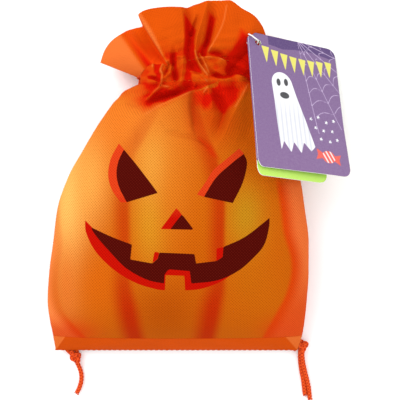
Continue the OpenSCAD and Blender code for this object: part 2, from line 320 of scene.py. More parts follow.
def pouch_cloth(name, nodes, grid, material, held, shade=None, slot="orange_nonwoven", **looks):
    """One of the pouch's sheets of cloth, whose cut is measured along the modelled cloth."""
    piece = sheet_piece(name, grid, material, CLOTH_T, shade, **looks)
    attach(piece, "pouch", nodes)


def curve_through(points, count):
    """count points on the smooth curve through the points, evenly spaced in their parameter."""
    p = np.asarray(points, float)
    if len(p) < 3:
        return p[0] + np.linspace(0, 1, count)[:, None] * (p[-1] - p[0])
    p = np.vstack([2 * p[0] - p[1], p, 2 * p[-1] - p[-2]])
    t = np.linspace(0, len(p) - 3, count)
    k = np.minimum(t.astype(int), len(p) - 4)
    f = (t - k)[:, None]
    a, b, c, d = p[k], p[k + 1], p[k + 2], p[k + 3]
    square, cube = 2 * a - 5 * b + 4 * c - d, 3 * b - a - 3 * c + d
    return 0.5 * (2 * b + (c - a) * f + square * f**2 + cube * f**3)


def distances(path):
    """Distance along a path to each of its points."""
    return np.concatenate([[0], np.cumsum(np.linalg.norm(np.diff(path, axis=0), axis=1))])


def even_path(points, step):
    """The smooth curve through the points, with points about step apart."""
    fine = curve_through(points, 60 * len(points))
    s = distances(fine)
    count = max(3, int(round(s[-1] / step)) + 1)
    at = np.linspace(0, s[-1], count)
    return np.stack([np.interp(at, s, fine[:, k]) for k in range(3)], axis=1)


def path_length(path):
    return float(np.linalg.norm(np.diff(path, axis=0), axis=1).sum())


def smooth_lookup(at, table):
    """A table's value at a place, on a curve that never swings past the table's own values."""
    x, y = np.asarray(table, float).T
    slope = np.diff(y) / np.diff(x)
    tangent = np.concatenate([[slope[0]], np.where(
        slope[:-1] * slope[1:] > 0, 2 * slope[:-1] * slope[1:] / (slope[:-1] + slope[1:] + 1e-12), 0,
    ), [slope[-1]]])
    at = np.clip(np.asarray(at, float), x[0], x[-1])
    k = np.clip(np.searchsorted(x, at, side="right") - 1, 0, len(x) - 2)
    h = x[k + 1] - x[k]
    t = (at - x[k]) / h
    return ((2 * t**3 - 3 * t**2 + 1) * y[k] + (t**3 - 2 * t**2 + t) * h * tangent[k]
            + (3 * t**2 - 2 * t**3) * y[k + 1] + (t**3 - t**2) * h * tangent[k + 1])


def smoothstep(low, high, value):
    t = np.clip((value - low) / (high - low), 0, 1)
    return t * t * (3 - 2 * t)


def near_line(x, y, line):
    """Distance from each place to a polyline, which side it is on (1 is left), and the line's own
    third number at the nearest point."""
    best = np.full(x.shape, 1e9)
    side = np.ones(x.shape)
    third = np.zeros(x.shape)
    for a, b in zip(line, line[1:]):
        dx, dy = b[0] - a[0], b[1] - a[1]
        t = np.clip(((x - a[0]) * dx + (y - a[1]) * dy) / (dx * dx + dy * dy + 1e-12), 0, 1)
        ex, ey = x - a[0] - t * dx, y - a[1] - t * dy
        distance = np.hypot(ex, ey)
        near = distance < best
        best = np.where(near, distance, best)
        side = np.where(near, np.sign(dx * ey - dy * ex), side)
        if len(a) > 2:
            third = np.where(near, a[2] + t * (b[2] - a[2]), third)
    return best, side, third


def outside(x, y, outline):
    """Signed distance to a closed outline, negative inside it."""
    ring = np.asarray(outline, float)
    distance, _, _ = near_line(x, y, np.vstack([ring, ring[:1]]))
    inside = np.zeros(x.shape, bool)
    for a, b in zip(ring, np.roll(ring, -1, axis=0)):
        crosses = (a[1] > y) != (b[1] > y)
        reach = a[0] + (y - a[1]) / (b[1] - a[1] if b[1] != a[1] else 1e-9) * (b[0] - a[0])
        inside ^= crosses & (x < reach)
    return np.where(inside, -distance, distance)


def outline_of(*stretches):
    """A closed outline from stretches that meet at corners. Each stretch is a smooth curve."""
    points = [curve_through(s, 6 * (len(s) - 1) + 1)[:-1] for s in stretches]
    return np.vstack(points)


# ---------------------------------------------------------------- the pouch's surfaces

LEFT_EDGE = [(-90, -86), (-78.5, -87), (-68, -88.4), (-55, -89.5), (-35, -88.2), (-15, -85.5),
             (8, -82.5), (30, -75), (48, -65), (65, -55), (78, -46), (87, -40), (92, -26.5)]
RIGHT_EDGE = [(-90, 81.5), (-78.5, 84.3), (-68, 85.5), (-55, 86.5), (-35, 87.7), (-15, 87.7), (8, 85),
              (30, 81.5), (48, 74), (65, 66.5), (78, 60), (87, 55.5), (92, 50.5)]
SEAM_HEIGHT = [(-90, 5.5), (-78.5, 9), (-55, 13), (-15, 14), (48, 15.5), (92, 17)]
CROWN = [(-90, 5.5), (-85, 17), (-78.5, 26), (-68, 37), (-55, 44), (-35, 48.5), (-15, 50), (8, 49),
         (30, 46), (48, 42.5), (65, 38.5), (78, 35), (87, 32.5), (92, 31)]
BACK_LIFT = [(-90, 4), (-84, 2.3), (-78.5, 1), (-74, 0), (60, 0), (78, 1), (92, 3)]
BOTTOM_Y = -90
CREASE_Y = -78.5
NECK_Y = 92
NECK_X = 12
NECK_Z = 17
NECK_R = 14
NECK_STRAIGHT = 24.5


def neck_outline(u, side):
    """x and z on the front half (side 1) or the back half (side -1) of the gathered neck."""
    arc = NECK_R * math.pi / 2
    s = u * (2 * arc + 2 * NECK_STRAIGHT)
    left = np.clip(s / arc, 0, 1) * math.pi / 2
    right = np.clip((s - arc - 2 * NECK_STRAIGHT) / arc, 0, 1) * math.pi / 2
    x = NECK_X - NECK_STRAIGHT - NECK_R * np.cos(left) + np.clip(s - arc, 0, 2 * NECK_STRAIGHT)
    x = x + NECK_R * np.sin(right)
    return x, NECK_Z + side * NECK_R * np.sin(left) * np.cos(right)


def body_span(y):
    left, right = smooth_lookup(y, LEFT_EDGE), smooth_lookup(y, RIGHT_EDGE)
    return (left + right) / 2, (right - left) / 2


def neck_share(y):
    return np.clip((y - 78) / (NECK_Y - 78), 0, 1) ** 2


def shoulder(u, y):
    """How far the left shoulder stands out over the cord."""
    return 4.5 * np.exp(-((u / 0.2) ** 2)) * smoothstep(82, 88.5, y) * (1 - smoothstep(90, 93.5, y))


def drawn_in(u, y, x, z, side):
    """Points of the body's surface, drawn in towards the gathered neck."""
    neck_x, neck_z = neck_outline(u, side)
    w = neck_share(y)
    return np.stack([x + (neck_x - x) * w - shoulder(u, y), y + 0 * x, z + (neck_z - z) * w], axis=-1)


def front_surface(u, y):
    middle, half = body_span(y)
    angle = math.pi * (1 - u)
    c = np.cos(angle)
    seam = smooth_lookup(y, SEAM_HEIGHT)
    x = middle + half * np.sign(c) * np.abs(c) ** 0.85
    z = seam + np.maximum(0, smooth_lookup(y, CROWN) - seam) * np.maximum(0, np.sin(angle)) ** 0.75
    return drawn_in(u, y, x, z, 1)


def back_surface(u, y):
    middle, half = body_span(y)
    f = -np.cos(math.pi * u)
    edge = np.maximum(0, (np.abs(f) - 0.5) / 0.5)
    low = smooth_lookup(y, BACK_LIFT)
    z = low + (smooth_lookup(y, SEAM_HEIGHT) - low) * (1 - np.sqrt(np.maximum(0, 1 - edge * edge)))
    return drawn_in(u, y, middle + half * f, z, -1)


# Folds of the front: ((x, y, height) points, reach on the left, reach on the right), where a line that
# runs down has its left on +X and a line that runs to +X has its left on +Y
FOLDS = [
    # the bright facet under the gathers, its dark valley and the thin ridge above it
    ([(-26, 66, 0), (-17, 74, 4), (-9, 76.6, 6), (3.6, 82.3, 7), (10.4, 86, 5), (12.5, 89, 0)], 4.5, 20),
    ([(-22, 77, 0), (-14, 81, -6), (-4, 83.5, -7), (6, 87.5, -5), (10, 90, 0)], 3.5, 3.0),
    ([(-11.7, 90, 1), (-12.5, 88.5, 3.5), (-15.7, 85.5, 3.5), (-20.5, 80.3, 2), (-22, 78, 0)], 2.2, 2.2),
    ([(-12, 89, 2), (-7.7, 88.7, 2.5), (-1.3, 85.5, 0)], 1.5, 2.5),
    # the valley that runs down from the puff, and the light crease across its foot
    ([(10.5, 87, -3), (8.8, 77.4, -4.5), (10, 67, -3.5), (12, 57, -2), (20, 48, 0)], 6, 2.5),
    ([(-9, 58, 0), (-3, 57, -1.3), (12, 53.5, -1.6), (20, 48.5, -1), (24, 46, 0)], 3, 1.5),
    # the long ridge on the right and the dark valley on its left
    ([(47, 91, 1), (42, 82, 5), (37, 73, 5), (31, 61, 3.5), (26, 50.5, 1.5), (24, 44, 0)], 14, 4),
    ([(22, 88, -3), (27, 80, -6), (29.5, 72, -5.5), (27, 62, -3), (24, 52, 0)], 4, 6),
    ([(20, 70, 0), (22, 78, 2.5), (20, 86, 2)], 3, 3),
    # the puff
    ([(8, 99, 1), (13, 95.5, 4), (18, 90.5, 5), (22.5, 85, 2.5), (24, 82, 0)], 4.5, 6),
    ([(19, 88, 1), (17, 85, 1.6), (15, 82.5, 0)], 1.2, 2),
    # the fold on the right of the neck
    ([(22, 95, 1), (29.3, 93.5, 4), (38, 96.5, 4.5), (47, 92, 3), (52, 88, 0)], 3, 8),
    ([(34, 99.5, -5), (38, 100, -7), (44, 98, -6), (50, 95, -3)], 4, 3),
    # the block between the puff and the frill
    ([(16, 109.5, -1), (23.6, 111.5, -3.5), (31, 107.5, -3), (34, 104, -2)], 2.4, 1.6),
    ([(17.5, 108, 2.5), (24, 107.7, 3.5), (31.5, 106, 3)], 1.2, 9),
    ([(20, 100, -1), (23, 97.5, -3.5), (29.3, 95, -4.5), (34.5, 97, -4), (36, 101, -3)], 2, 2),
    # the two thin ridges on its left
    ([(10.6, 113, 1), (11.2, 109, 3.5), (14, 103, 4), (18.8, 96.7, 2), (20, 94, 0)], 1.4, 1.8),
    ([(13.6, 111.5, 0.5), (16.6, 105, 3.2), (20, 98.3, 1)], 1.6, 1.3),
    # the pleat in the middle of the neck and its dark sides
    ([(1.5, 110, 0.5), (2.5, 106.3, 4), (2.2, 98.3, 4.5), (0.8, 91, 2), (0, 88, 0)], 3.6, 2.6),
    ([(-3.4, 114, -1), (-3.8, 108, -5), (-3.4, 101, -5), (-2, 95, -3), (-1.5, 91, 0)], 2.4, 2.2),
    ([(-1.5, 107.2, -1), (3, 107.6, -1.2), (6.5, 107, 0)], 1.2, 0.8),
    # the small ridges on the left of the neck
    ([(-10.1, 106, 1), (-12.1, 100, 3.2), (-10.9, 96.7, 3), (-11.7, 90.3, 1.5)], 1.4, 1.5),
    ([(-14.1, 111, 0.5), (-16.9, 106.3, 2.8), (-17.3, 102, 2), (-16.5, 98, 0)], 1.4, 1.6),
    ([(-3.2, 99.5, 0.5), (-5.6, 97.8, 3), (-9.8, 94.3, 2.5)], 1.2, 5),
    ([(-7, 103.5, -4), (-7.5, 100.5, -5), (-9, 98, -3)], 2, 2),
    ([(-23, 93.5, 0), (-19, 93.4, 2), (-12.5, 91.2, 2)], 1.2, 3),
    ([(-21.5, 95.8, -1), (-17, 94.8, -3.5), (-13.4, 93, -2)], 1.6, 1.2),
    ([(-23.5, 87, 0), (-22.6, 85, 1.6), (-20.9, 81.5, 1)], 2, 1.2),
    # the creases of the left shoulder
    ([(-41, 79, 0), (-33.4, 76.6, -2.2), (-27, 73, -1.5), (-22, 69, 0)], 2.5, 3.5),
    ([(-30, 62, 0), (-26, 56, -1.2), (-27, 47, 0)], 4, 3),
    # the frill's two dark valleys, the wedge between them and the ridges beside them
    ([(5.4, 142, -3), (6.6, 132, -5), (7.4, 122, -6), (6.5, 113, -5.5), (8, 105, -5), (12, 99, -3)],
     4.2, 3.6),
    ([(12.6, 135, -1), (10.4, 130, -4), (8.6, 124, -4)], 1.8, 1.8),
    ([(18.6, 144, 1.5), (14.8, 130.4, 3.4), (11.8, 120, 3.6), (10.8, 113, 2.5)], 2.6, 2.2),
    ([(22.5, 141, -2), (21.4, 131, -6), (19, 120, -6.5), (16, 111, -4)], 3.2, 3.6),
    ([(32, 145, 1.2), (29.2, 131, 3), (25.2, 121.6, 3.8), (19.6, 112, 3.5), (17.2, 109, 1)], 12, 3.4),
    # the right lobe's hollow beside the tag
    ([(60, 122, -4), (50, 116, -7), (39, 106, -8), (35, 100, -6)], 8, 9),
]

# Painted shade: where the cloth is painted deep red in the folds: (outline, softness, strength)
PAINTED_SHADE_PATCHES = [
    ([(-21.5, 79), (-11, 88), (-1, 85.5), (9.5, 86.8), (-9, 77.6)], 1.0, 1.0),
    ([(3.5, 138), (3.8, 112), (5.8, 107), (4.5, 97), (2, 90), (9, 87), (8, 98), (15, 97), (10.8, 106),
      (10, 118), (11.5, 126), (8.6, 130)], 1.2, 1.0),
    ([(19.5, 139), (17, 120), (12.5, 112), (17, 109), (21, 118), (25, 134)], 1.6, 0.75),
    ([(41, 126), (54, 118), (50, 93), (38.5, 97.5), (34, 98), (32.7, 107.5), (36, 112)], 2.6, 1.0),
    ([(24, 91), (36, 91), (40, 82), (35, 76), (30, 73), (26, 77), (22.5, 82)], 3.4, 0.75),
    ([(-5, 110), (-1.5, 111), (-1.6, 94), (-7, 102)], 1.0, 0.65),
    ([(-21, 96.5), (-13, 95.5), (-12.5, 91.5), (-20, 94)], 0.8, 0.8),
    ([(-15.5, 109), (-11, 105.5), (-12.8, 99.5), (-12, 93), (-16.5, 99)], 1.0, 0.8),
    ([(17, 109.2), (23.6, 111.6), (31, 107.4), (24, 108.6)], 0.7, 0.5),
    ([(-24, 92), (-14, 90.5), (-18, 85), (-22, 88)], 1.6, 0.55),
    ([(11, 85), (22, 83), (21.5, 77), (16, 75), (11.5, 78)], 3.4, 0.85),
    ([(-27, 80), (-22, 84), (-14, 88), (-14, 80), (-19, 76), (-24, 77)], 2.0, 0.45),
    ([(13, 54.5), (21, 49), (27, 40), (21, 43)], 2.0, 0.5),
]

# Painted highlights on edges that catch the light: ((x, y) points, half width, strength)
PAINTED_HIGHLIGHT_LINES = [
    ([(-26.5, 135.5), (-20.5, 126.4), (-14.1, 114.4), (-10.1, 106.4), (-5.7, 101.5)], 1.9, 0.75),
    ([(-20.5, 80.5), (-15.7, 85.7), (-11.7, 89.2), (-7, 88.8)], 0.7, 0.55),
    ([(-21, 70.5), (-9, 77), (3.6, 82.6), (10.4, 86.2)], 0.8, 0.35),
    ([(-10, 105.5), (-12, 99.9), (-10.9, 96.7), (-11.7, 90.3)], 0.7, 0.7),
    ([(-14.1, 110.4), (-16.9, 106.3), (-17.3, 102.5)], 0.7, 0.6),
    ([(10.8, 112), (14, 103), (18.8, 96.7)], 0.6, 0.7),
    ([(13.6, 111), (20, 98.3)], 0.5, 0.6),
    ([(31.5, 142), (29.2, 130.4), (25.2, 121.6), (19.6, 112)], 0.6, 0.4),
    ([(46, 91), (41.5, 83), (37, 75)], 0.6, 0.5),
    ([(18.6, 88), (16.4, 84.4)], 0.6, 0.6),
    ([(8, 98.8), (14, 97.4), (18.6, 92)], 0.6, 0.4),
    ([(18, 108), (31, 106.3)], 0.5, 0.35),
]


def fold_height(x, y):
    """Height that the folds add to the front, and the deep valleys' share of it."""
    total = np.zeros(x.shape)
    valley = np.zeros(x.shape)
    for points, left, right in FOLDS:
        line = curve_through(points, 5 * (len(points) - 1) + 1)
        distance, side, height = near_line(x, y, line)
        reach = np.where(side > 0, left, right)
        share = np.clip(1 - (np.sqrt(distance**2 + 0.09) - 0.3) / reach, 0, 1) ** 1.25
        total += height * share
        valley += np.minimum(height, 0) * share
    return total, valley


# Size in millimetres and seed of the small crumples in the neck
NECK_CRUMPLE = (6.5, 5)

# The foot of the gathers, from left to right
GATHER_FOOT = [(-90, 88), (-40, 84), (-29, 76), (-23, 72), (-17, 73.5), (-9, 76), (3.6, 82), (10, 85),
               (12, 77), (16, 73), (23, 73), (30, 72), (36, 76), (42, 83), (47, 89), (60, 96)]


def gather_share(x, y):
    """1 on the cloth above the foot of the gathers, 0 on the body below it."""
    distance, side, _ = near_line(x, y, GATHER_FOOT)
    return smoothstep(-3, 4, distance * side) * (0.3 + 0.7 * smoothstep(-31, -18, x))


def fold_shade(x, y, height, valley):
    """-1 where painted shade turns the cloth deep red in a fold, 1 on an edge with a painted highlight.
    """
    # painted shade: deep red in the deep valleys, and over the gathers where the cloth lies low or
    # crumpled
    gathered = gather_share(x, y) * (1 - smoothstep(108, 122, y))
    shade = -0.55 * smoothstep(1.0, 6.0, -valley)
    low, crumpled = smoothstep(3.0, -1.5, height), smoothstep(0.15, -0.35, crinkle(x, y, *NECK_CRUMPLE))
    shade -= gathered * (0.55 * low + 0.45 * crumpled)
    for outline, soft, strength in PAINTED_SHADE_PATCHES:
        shade = shade - strength * (1 - smoothstep(-soft, soft, outside(x, y, outline)))
    shade = np.maximum(shade, -1)
    for points, half, strength in PAINTED_HIGHLIGHT_LINES:
        distance, _, _ = near_line(x, y, curve_through(points, 5 * len(points)))
        on_line = 1 - smoothstep(0.3 * half, 1.6 * half, distance)
        shade = shade + strength * on_line * (1 - 0.4 * np.minimum(shade, 0))
    return np.clip(shade, -1, 1)


def crinkle(x, y, size, seed):
    """Small flat-sided wrinkles, about -1 to 1, from a few crossing folded waves."""
    draw = random.Random(seed)
    total = np.zeros(x.shape)
    for _ in range(6):
        angle = draw.uniform(0, math.pi)
        wave = size * draw.uniform(0.8, 2.2)
        shift = draw.uniform(0, 1)
        bend = 1.6 * np.sin((x * math.sin(angle) - y * math.cos(angle)) / (1.7 * size) + 6 * shift)
        phase = (x * math.cos(angle) + y * math.sin(angle) + bend) / wave + shift
        total += np.abs(2 * (phase - np.floor(phase)) - 1) - 0.5
    return total / 2.2


def neck_crinkle(x, y):
    """The small crumples of the gathered cloth, faded out over the body."""
    return 1.3 * crinkle(x, y, *NECK_CRUMPLE) * smoothstep(76, 88, y)


# Height that clears the cords in the casing
OVER_CORDS_Z = 23.3


def over_cords(grid, base_z):
    """Keep the gathered cloth outside the cords that run through the casing."""
    y, z = grid[..., 1], grid[..., 2]
    floor = np.minimum(OVER_CORDS_Z, base_z - 1)
    near = smoothstep(93.5, 95.5, y) * (1 - smoothstep(105.5, 107.5, y))
    pressed = np.maximum(z, floor + 0.08 * np.minimum(0, z - floor))
    grid[..., 2] = z + near * (pressed - z)


# ---------------------------------------------------------------- the print

LEFT_EYE = outline_of(
    [(-35.5, 47), (-24, 33), (-13, 18.5)], [(-13, 18.5), (-33, 12.5)],
    [(-33, 12.5), (-38, 22), (-40, 30.5), (-39, 39), (-35.5, 47)],
)
LEFT_EYE_RIM = outline_of(
    [(-39, 51), (-44, 41), (-45.5, 30.5), (-43, 21), (-37, 12.5)], [(-37, 12.5), (-33, 12.5)],
    [(-33, 12.5), (-30, 25), (-35.5, 47)], [(-35.5, 47), (-39, 51)],
)
RIGHT_EYE = outline_of(
    [(42.5, 44), (44.5, 37.5), (41.5, 25), (35, 12)], [(35, 12), (16.5, 16)],
    [(16.5, 16), (24, 28), (33, 36.5), (42.5, 44)],
)
RIGHT_EYE_RIM = outline_of(
    [(39.5, 47.5), (30.5, 40), (22.5, 33), (18, 26), (12, 17.5)], [(12, 17.5), (16.5, 16)],
    [(16.5, 16), (30, 30), (42.5, 44)], [(42.5, 44), (39.5, 47.5)],
)
NOSE = outline_of([(2.5, 5), (10, -5)], [(10, -5), (-5, -4.7)], [(-5, -4.7), (2.5, 5)])
NOSE_RIM = outline_of([(-1, 9), (10, -5)], [(10, -5), (-11, -4.5)], [(-11, -4.5), (-1, 9)])
MOUTH = outline_of(
    [(-56.5, -3.5), (-43, -9.5), (-29.5, -14.5)], [(-29.5, -14.5), (-30.5, -24)],
    [(-30.5, -24), (-16.5, -26.5)], [(-16.5, -26.5), (-13, -23.5)], [(-13, -23.5), (-12, -19.5)],
    [(-12, -19.5), (10.5, -20.5)], [(10.5, -20.5), (11.5, -26.5)], [(11.5, -26.5), (24.5, -25)],
    [(24.5, -25), (28.5, -22.5)], [(28.5, -22.5), (29, -16)],
    [(29, -16), (43, -9.5), (59, 2.5)],
    [(59, 2.5), (58.5, -4), (55.5, -14.5), (49, -22.5), (38.5, -31.5), (25, -37.5), (8.5, -39.5)],
    [(8.5, -39.5), (7.5, -31.4)], [(7.5, -31.4), (-6, -30.3)], [(-6, -30.3), (-8.7, -33.6)],
    [(-8.7, -34), (-9, -39.5)],
    [(-9, -39.5), (-20, -37), (-33.5, -29.5), (-45, -18), (-53.5, -8.5), (-56.5, -3.5)],
)
MOUTH_RIM = outline_of(
    [(-60.5, 1), (-59.5, -7.5), (-53, -19.5), (-41, -31), (-27.5, -39), (-15, -43), (-8.5, -44)],
    [(-8.5, -44), (-8, -34)], [(-8, -34), (4, -34.5)], [(4, -34.5), (4.5, -44)],
    [(4.5, -44), (14.5, -43), (26, -39), (35, -33.5)], [(35, -33.5), (20, -29)],
    [(20, -29), (-12, -29.5), (-32, -26), (-46, -13)], [(-46, -13), (-60.5, 1)],
)
LEFT_TOOTH_SIDE = outline_of([(-15, -19), (-12, -19.5)], [(-12, -19.5), (-13, -23.5)],
                             [(-13, -23.5), (-16.5, -26.5)], [(-16.5, -26.5), (-15, -19)])
RIGHT_TOOTH_SIDE = outline_of([(24.5, -17), (29, -16)], [(29, -16), (28.5, -22.5)],
                              [(28.5, -22.5), (24.5, -25)], [(24.5, -25), (24.5, -17)])
LEFT_OUTLINE = [(-80.5, 22), (-78, 0), (-76, -16), (-78.5, -33.5), (-79, -45.5), (-76.5, -57.5),
                (-70.5, -67), (-61.5, -79)]
RIGHT_OUTLINE = [(62, 34), (66, 8), (68, -7.5), (72.5, -23), (73, -34.5), (69.5, -48.5),
                 (63.5, -60.5), (55, -79)]
LEFT_GROOVE = [(-16, 72, 0.2), (-25, 54, 0.35), (-32, 40, 0.3), (-34, 12, 0.65), (-33.5, -9.5, 0.7),
               (-34, -26.5, 0.6), (-34, -44, 0.8), (-32, -58, 0.95), (-29, -79, 0.9)]
RIGHT_GROOVE = [(10, 82.5, 0.5), (15, 60, 0.5), (22.5, 42, 0.7), (27.5, 16.5, 0.8), (27.5, -9.5, 0.85),
                (27, -38, 0.8), (23, -56, 0.95), (19, -79, 0.9)]

# (centre x, y, reach x, reach y, colour, strength) of the print's soft blooms
BLOOMS = [
    (-30, 68, 46, 34, (0.68, 0.165, 0.016), 0.9),
    (-73, 10, 13, 50, (0.84, 0.43, 0.10), 0.95),
    (-57, 26, 13, 30, (0.78, 0.33, 0.06), 0.75),
    (-18, 0, 11, 34, (0.55, 0.22, 0.010), 0.95),
    (-16, 38, 13, 24, (0.66, 0.27, 0.035), 0.9),
    (-2, 24, 11, 34, (0.60, 0.155, 0.009), 0.6),
    (43, 4, 13, 26, (0.45, 0.205, 0.007), 0.95),
    (46, -38, 15, 18, (0.47, 0.115, 0.002), 0.7),
    (-52, -42, 22, 28, (0.58, 0.11, 0.003), 0.8),
    (-8, -58, 26, 22, (0.41, 0.068, 0.001), 0.9),
    (13, -30, 10, 22, (0.46, 0.085, 0.001), 0.6),
    (58, -52, 12, 20, (0.50, 0.112, 0.002), 0.6),
    (45, 62, 20, 24, (0.50, 0.090, 0.002), 0.8),
    (24, 67, 15, 15, (0.50, 0.048, 0.0012), 0.85),
    (-74, -45, 8, 30, (0.64, 0.15, 0.020), 0.8),
    (-70, -74, 16, 9, (0.60, 0.05, 0.003), 0.85),
    (72, -72, 15, 9, (0.62, 0.035, 0.003), 0.85),
]


def pumpkin_ink(x, y):
    """Colour of the printed pumpkin at each place, before the face is cut in it."""
    colour = np.zeros((*x.shape, 3)) + (0.50, 0.10, 0.002)

    def blend(share, ink):
        colour[...] = colour + share[..., None] * (np.asarray(ink) - colour)

    for cx, cy, rx, ry, ink, strength in BLOOMS:
        blend(strength * np.exp(-(((x - cx) / rx) ** 2) - ((y - cy) / ry) ** 2), ink)
    # redder base over the gathered cloth above their foot: partly the print's red-orange, partly painted
    # shade of the gathers
    blend(gather_share(x, y), (0.58, 0.042, 0.0014))
    low = smoothstep(-25, -62, y)
    for line, wide, narrow in ((LEFT_GROOVE, 11.5, 5), (RIGHT_GROOVE, 12.5, 4)):
        distance, side, strength = near_line(x, y, curve_through(line, 40))
        reach = np.where(side > 0, narrow + 5 * low, wide + 2 * low)
        blend(0.95 * strength * smoothstep(reach, 0.1 * reach, distance), (0.43, 0.014, 0.0006))
    left, right = (np.interp(y, *curve_through(line, 40)[::-1].T[::-1])
                   for line in (LEFT_OUTLINE, RIGHT_OUTLINE))
    foot = smoothstep(-58, -76, y)
    # outside each outline the print's red-orange, then toward the sides a paler painted sheen where the
    # cloth turns down at a grazing angle
    for gap, red, edge, fade in ((left - x, 0.25 + 0.65 * foot, (0.86, 0.22, 0.055), foot),
                                 (x - right, 0.85, (0.74, 0.16, 0.035), low)):
        blend(red * smoothstep(-1.5, 2.5, gap) * smoothstep(34, 20, y), (0.60, 0.040, 0.002))
        blend(0.85 * smoothstep(2, 12, gap) * smoothstep(34, 20, y) * (1 - 0.75 * fade), edge)
    return np.concatenate([colour, np.ones((*x.shape, 1))], axis=-1)


# ---------------------------------------------------------------- the pouch

# Where painted light stands in for the light that the card throws back on the cloth beside it
PAINTED_TAG_BOUNCE = [(48, 98), (52, 70), (56, 42)]


def surface_grid(surface, low, high, rows, cols):
    """Points of a surface from low to high along the pouch, and each column's share of the way across."""
    y = np.linspace(low, high, rows)[:, None]
    u = np.linspace(0, 1, cols)[None, :]
    return surface(u + 0 * y, y + 0 * u), u


def off_sides(u, power=0.4):
    """0 at the cloth's two sides, 1 in its middle."""
    return (u * (1 - u) * 4) ** power


def outside_all(x, y, *outlines):
    """Signed distance to several closed outlines, negative inside any of them."""
    return np.minimum.reduce([outside(x, y, outline) for outline in outlines])


def make_front_panel(material):
    grid, u = surface_grid(front_surface, CREASE_Y, NECK_Y, 300, 300)
    x, y = grid[..., 0], grid[..., 1]
    height, valley = fold_height(x, y)
    low = smoothstep(-20, -78, y)
    away = 1 - smoothstep(84, 92, y)
    waves = 0.5 * crinkle(x, y, 26, 3) + 0.25 * crinkle(x, y, 11, 4) * smoothstep(20, 80, y)
    grid[..., 2] += (height + waves * (1 - 0.6 * low) * away + neck_crinkle(x, y)) * off_sides(u)
    opening = outside_all(x, y, LEFT_EYE, RIGHT_EYE, NOSE, MOUTH)
    rims = outside_all(x, y, LEFT_EYE_RIM, RIGHT_EYE_RIM, NOSE_RIM, LEFT_TOOTH_SIDE, RIGHT_TOOTH_SIDE)
    rims = np.minimum(rims, np.maximum(outside(x, y, MOUTH_RIM), mouth_top(x, y)))
    # painted light beside the tag, a glow in place of the light the card throws back
    glow = 0.3 * np.exp(-((near_line(x, y, PAINTED_TAG_BOUNCE)[0] / 7) ** 2))
    pouch_cloth("printed_front_panel", ["front_panel"], grid, material, "stretched",
                fold_shade(x, y, height, valley), "printed_nonwoven", glow=glow,
                ink=pumpkin_ink(x, y), opening=opening, rim=rims)


def mouth_top(x, y):
    """Negative below the mouth's upper line, so that its red rim shows only under the opening."""
    line = [(-60.5, 1), (-43, -9.5), (-29.5, -14.5), (-12, -19.5), (10.5, -20.5), (29, -16), (59, 2.5)]
    distance, side, _ = near_line(x, y, curve_through(line, 40))
    return distance * side


def make_back_panel(material):
    grid, u = surface_grid(back_surface, BOTTOM_Y, NECK_Y, 160, 120)
    x, y = grid[..., 0], grid[..., 1]
    gather = smoothstep(45, 92, y)
    pleats = np.cos(u * 2 * math.pi * 9 + 1.3 * np.sin(y / 17)) * gather
    puckers = crinkle(x, y, 18, 11)
    lift = 0.5 * (puckers + 1) + 1.2 * (pleats + 1) * gather
    grid[..., 2] += off_sides(u, 0.5) * lift
    shade = -0.5 * gather * (pleats > 0.4)
    pouch_cloth("plain_back_panel", ["back_panel", "left_side_seam", "right_side_seam"], grid, material,
                "stretched", shade, flip=True)


MITRE_LEFT = 9.8
MITRE_RIGHT = 12.5


def make_gusset(material):
    grid, _ = surface_grid(front_surface, BOTTOM_Y, CREASE_Y, 24, 260)
    x, y = grid[..., 0], grid[..., 1]
    t = (y - BOTTOM_Y) / (CREASE_Y - BOTTOM_Y)
    middle, half = body_span(y)
    # flat across the band, with a mitre fold at each end
    from_edge = half - np.abs(x - middle)
    mitre = from_edge - np.where(x < middle, MITRE_LEFT, MITRE_RIGHT) * t
    flat = BACK_LIFT[0][1] + 1.5 + (smooth_lookup(CREASE_Y, CROWN) - 5.5) * t**0.8
    grid[..., 2] = np.minimum(grid[..., 2], flat)
    ridge = np.clip(1 - np.abs(mitre) / 1.4, 0, 1)
    grid[..., 2] += 0.7 * ridge * smoothstep(0, 0.15, t) * smoothstep(1, 0.85, t)
    # painted highlight on the corner triangles, which face sideways, and painted shade just under the
    # crease
    shade = 0.75 * smoothstep(0.6, -0.6, mitre) - 0.3 * smoothstep(0.94, 1.0, t)
    pouch_cloth("bottom_gusset_band", ["bottom_gusset"], grid, material, "folded", shade)


# ---------------------------------------------------------------- casing and frill

# Top of the gathered casing round the front, by the share of the way from left to right
CASING_TOP = [(0, 96.4), (0.1, 100.5), (0.17, 104), (0.25, 104), (0.30, 102.5), (0.36, 106),
              (0.45, 109), (0.8, 109), (0.9, 105), (1, 98)]

# The frill's free edge: share of the way round, x, y, z, and how far the cloth bows between neck and edge
FRONT_RIM = [
    (0, -53.9, 107.4, 15, 1), (0.06, -51, 115.2, 17, 2), (0.11, -46.1, 121.8, 18, 2.5),
    (0.17, -36.6, 128, 18.5, 2.5), (0.22, -30.9, 131.3, 13, -3), (0.285, -25.5, 133.6, 11, -8),
    (0.30, -26.7, 135.7, 33, 1), (0.33, -22.9, 138.5, 34, 1.5), (0.38, -15.7, 140.5, 33.5, 2),
    (0.45, -4.5, 141.7, 32, 2), (0.51, 4.4, 141.7, 31, 1), (0.56, 11.6, 143.3, 31.5, 1),
    (0.63, 19.6, 145.5, 32, 1), (0.72, 32.9, 145.7, 32, 2), (0.79, 42.1, 140.5, 31.5, 3),
    (0.84, 50.1, 136.1, 30, 3), (0.88, 55, 131.2, 26, 1), (0.91, 57.4, 127.2, 23.5, 0),
    (0.96, 61, 117, 19, 0), (1, 63, 108, 17, 0),
]
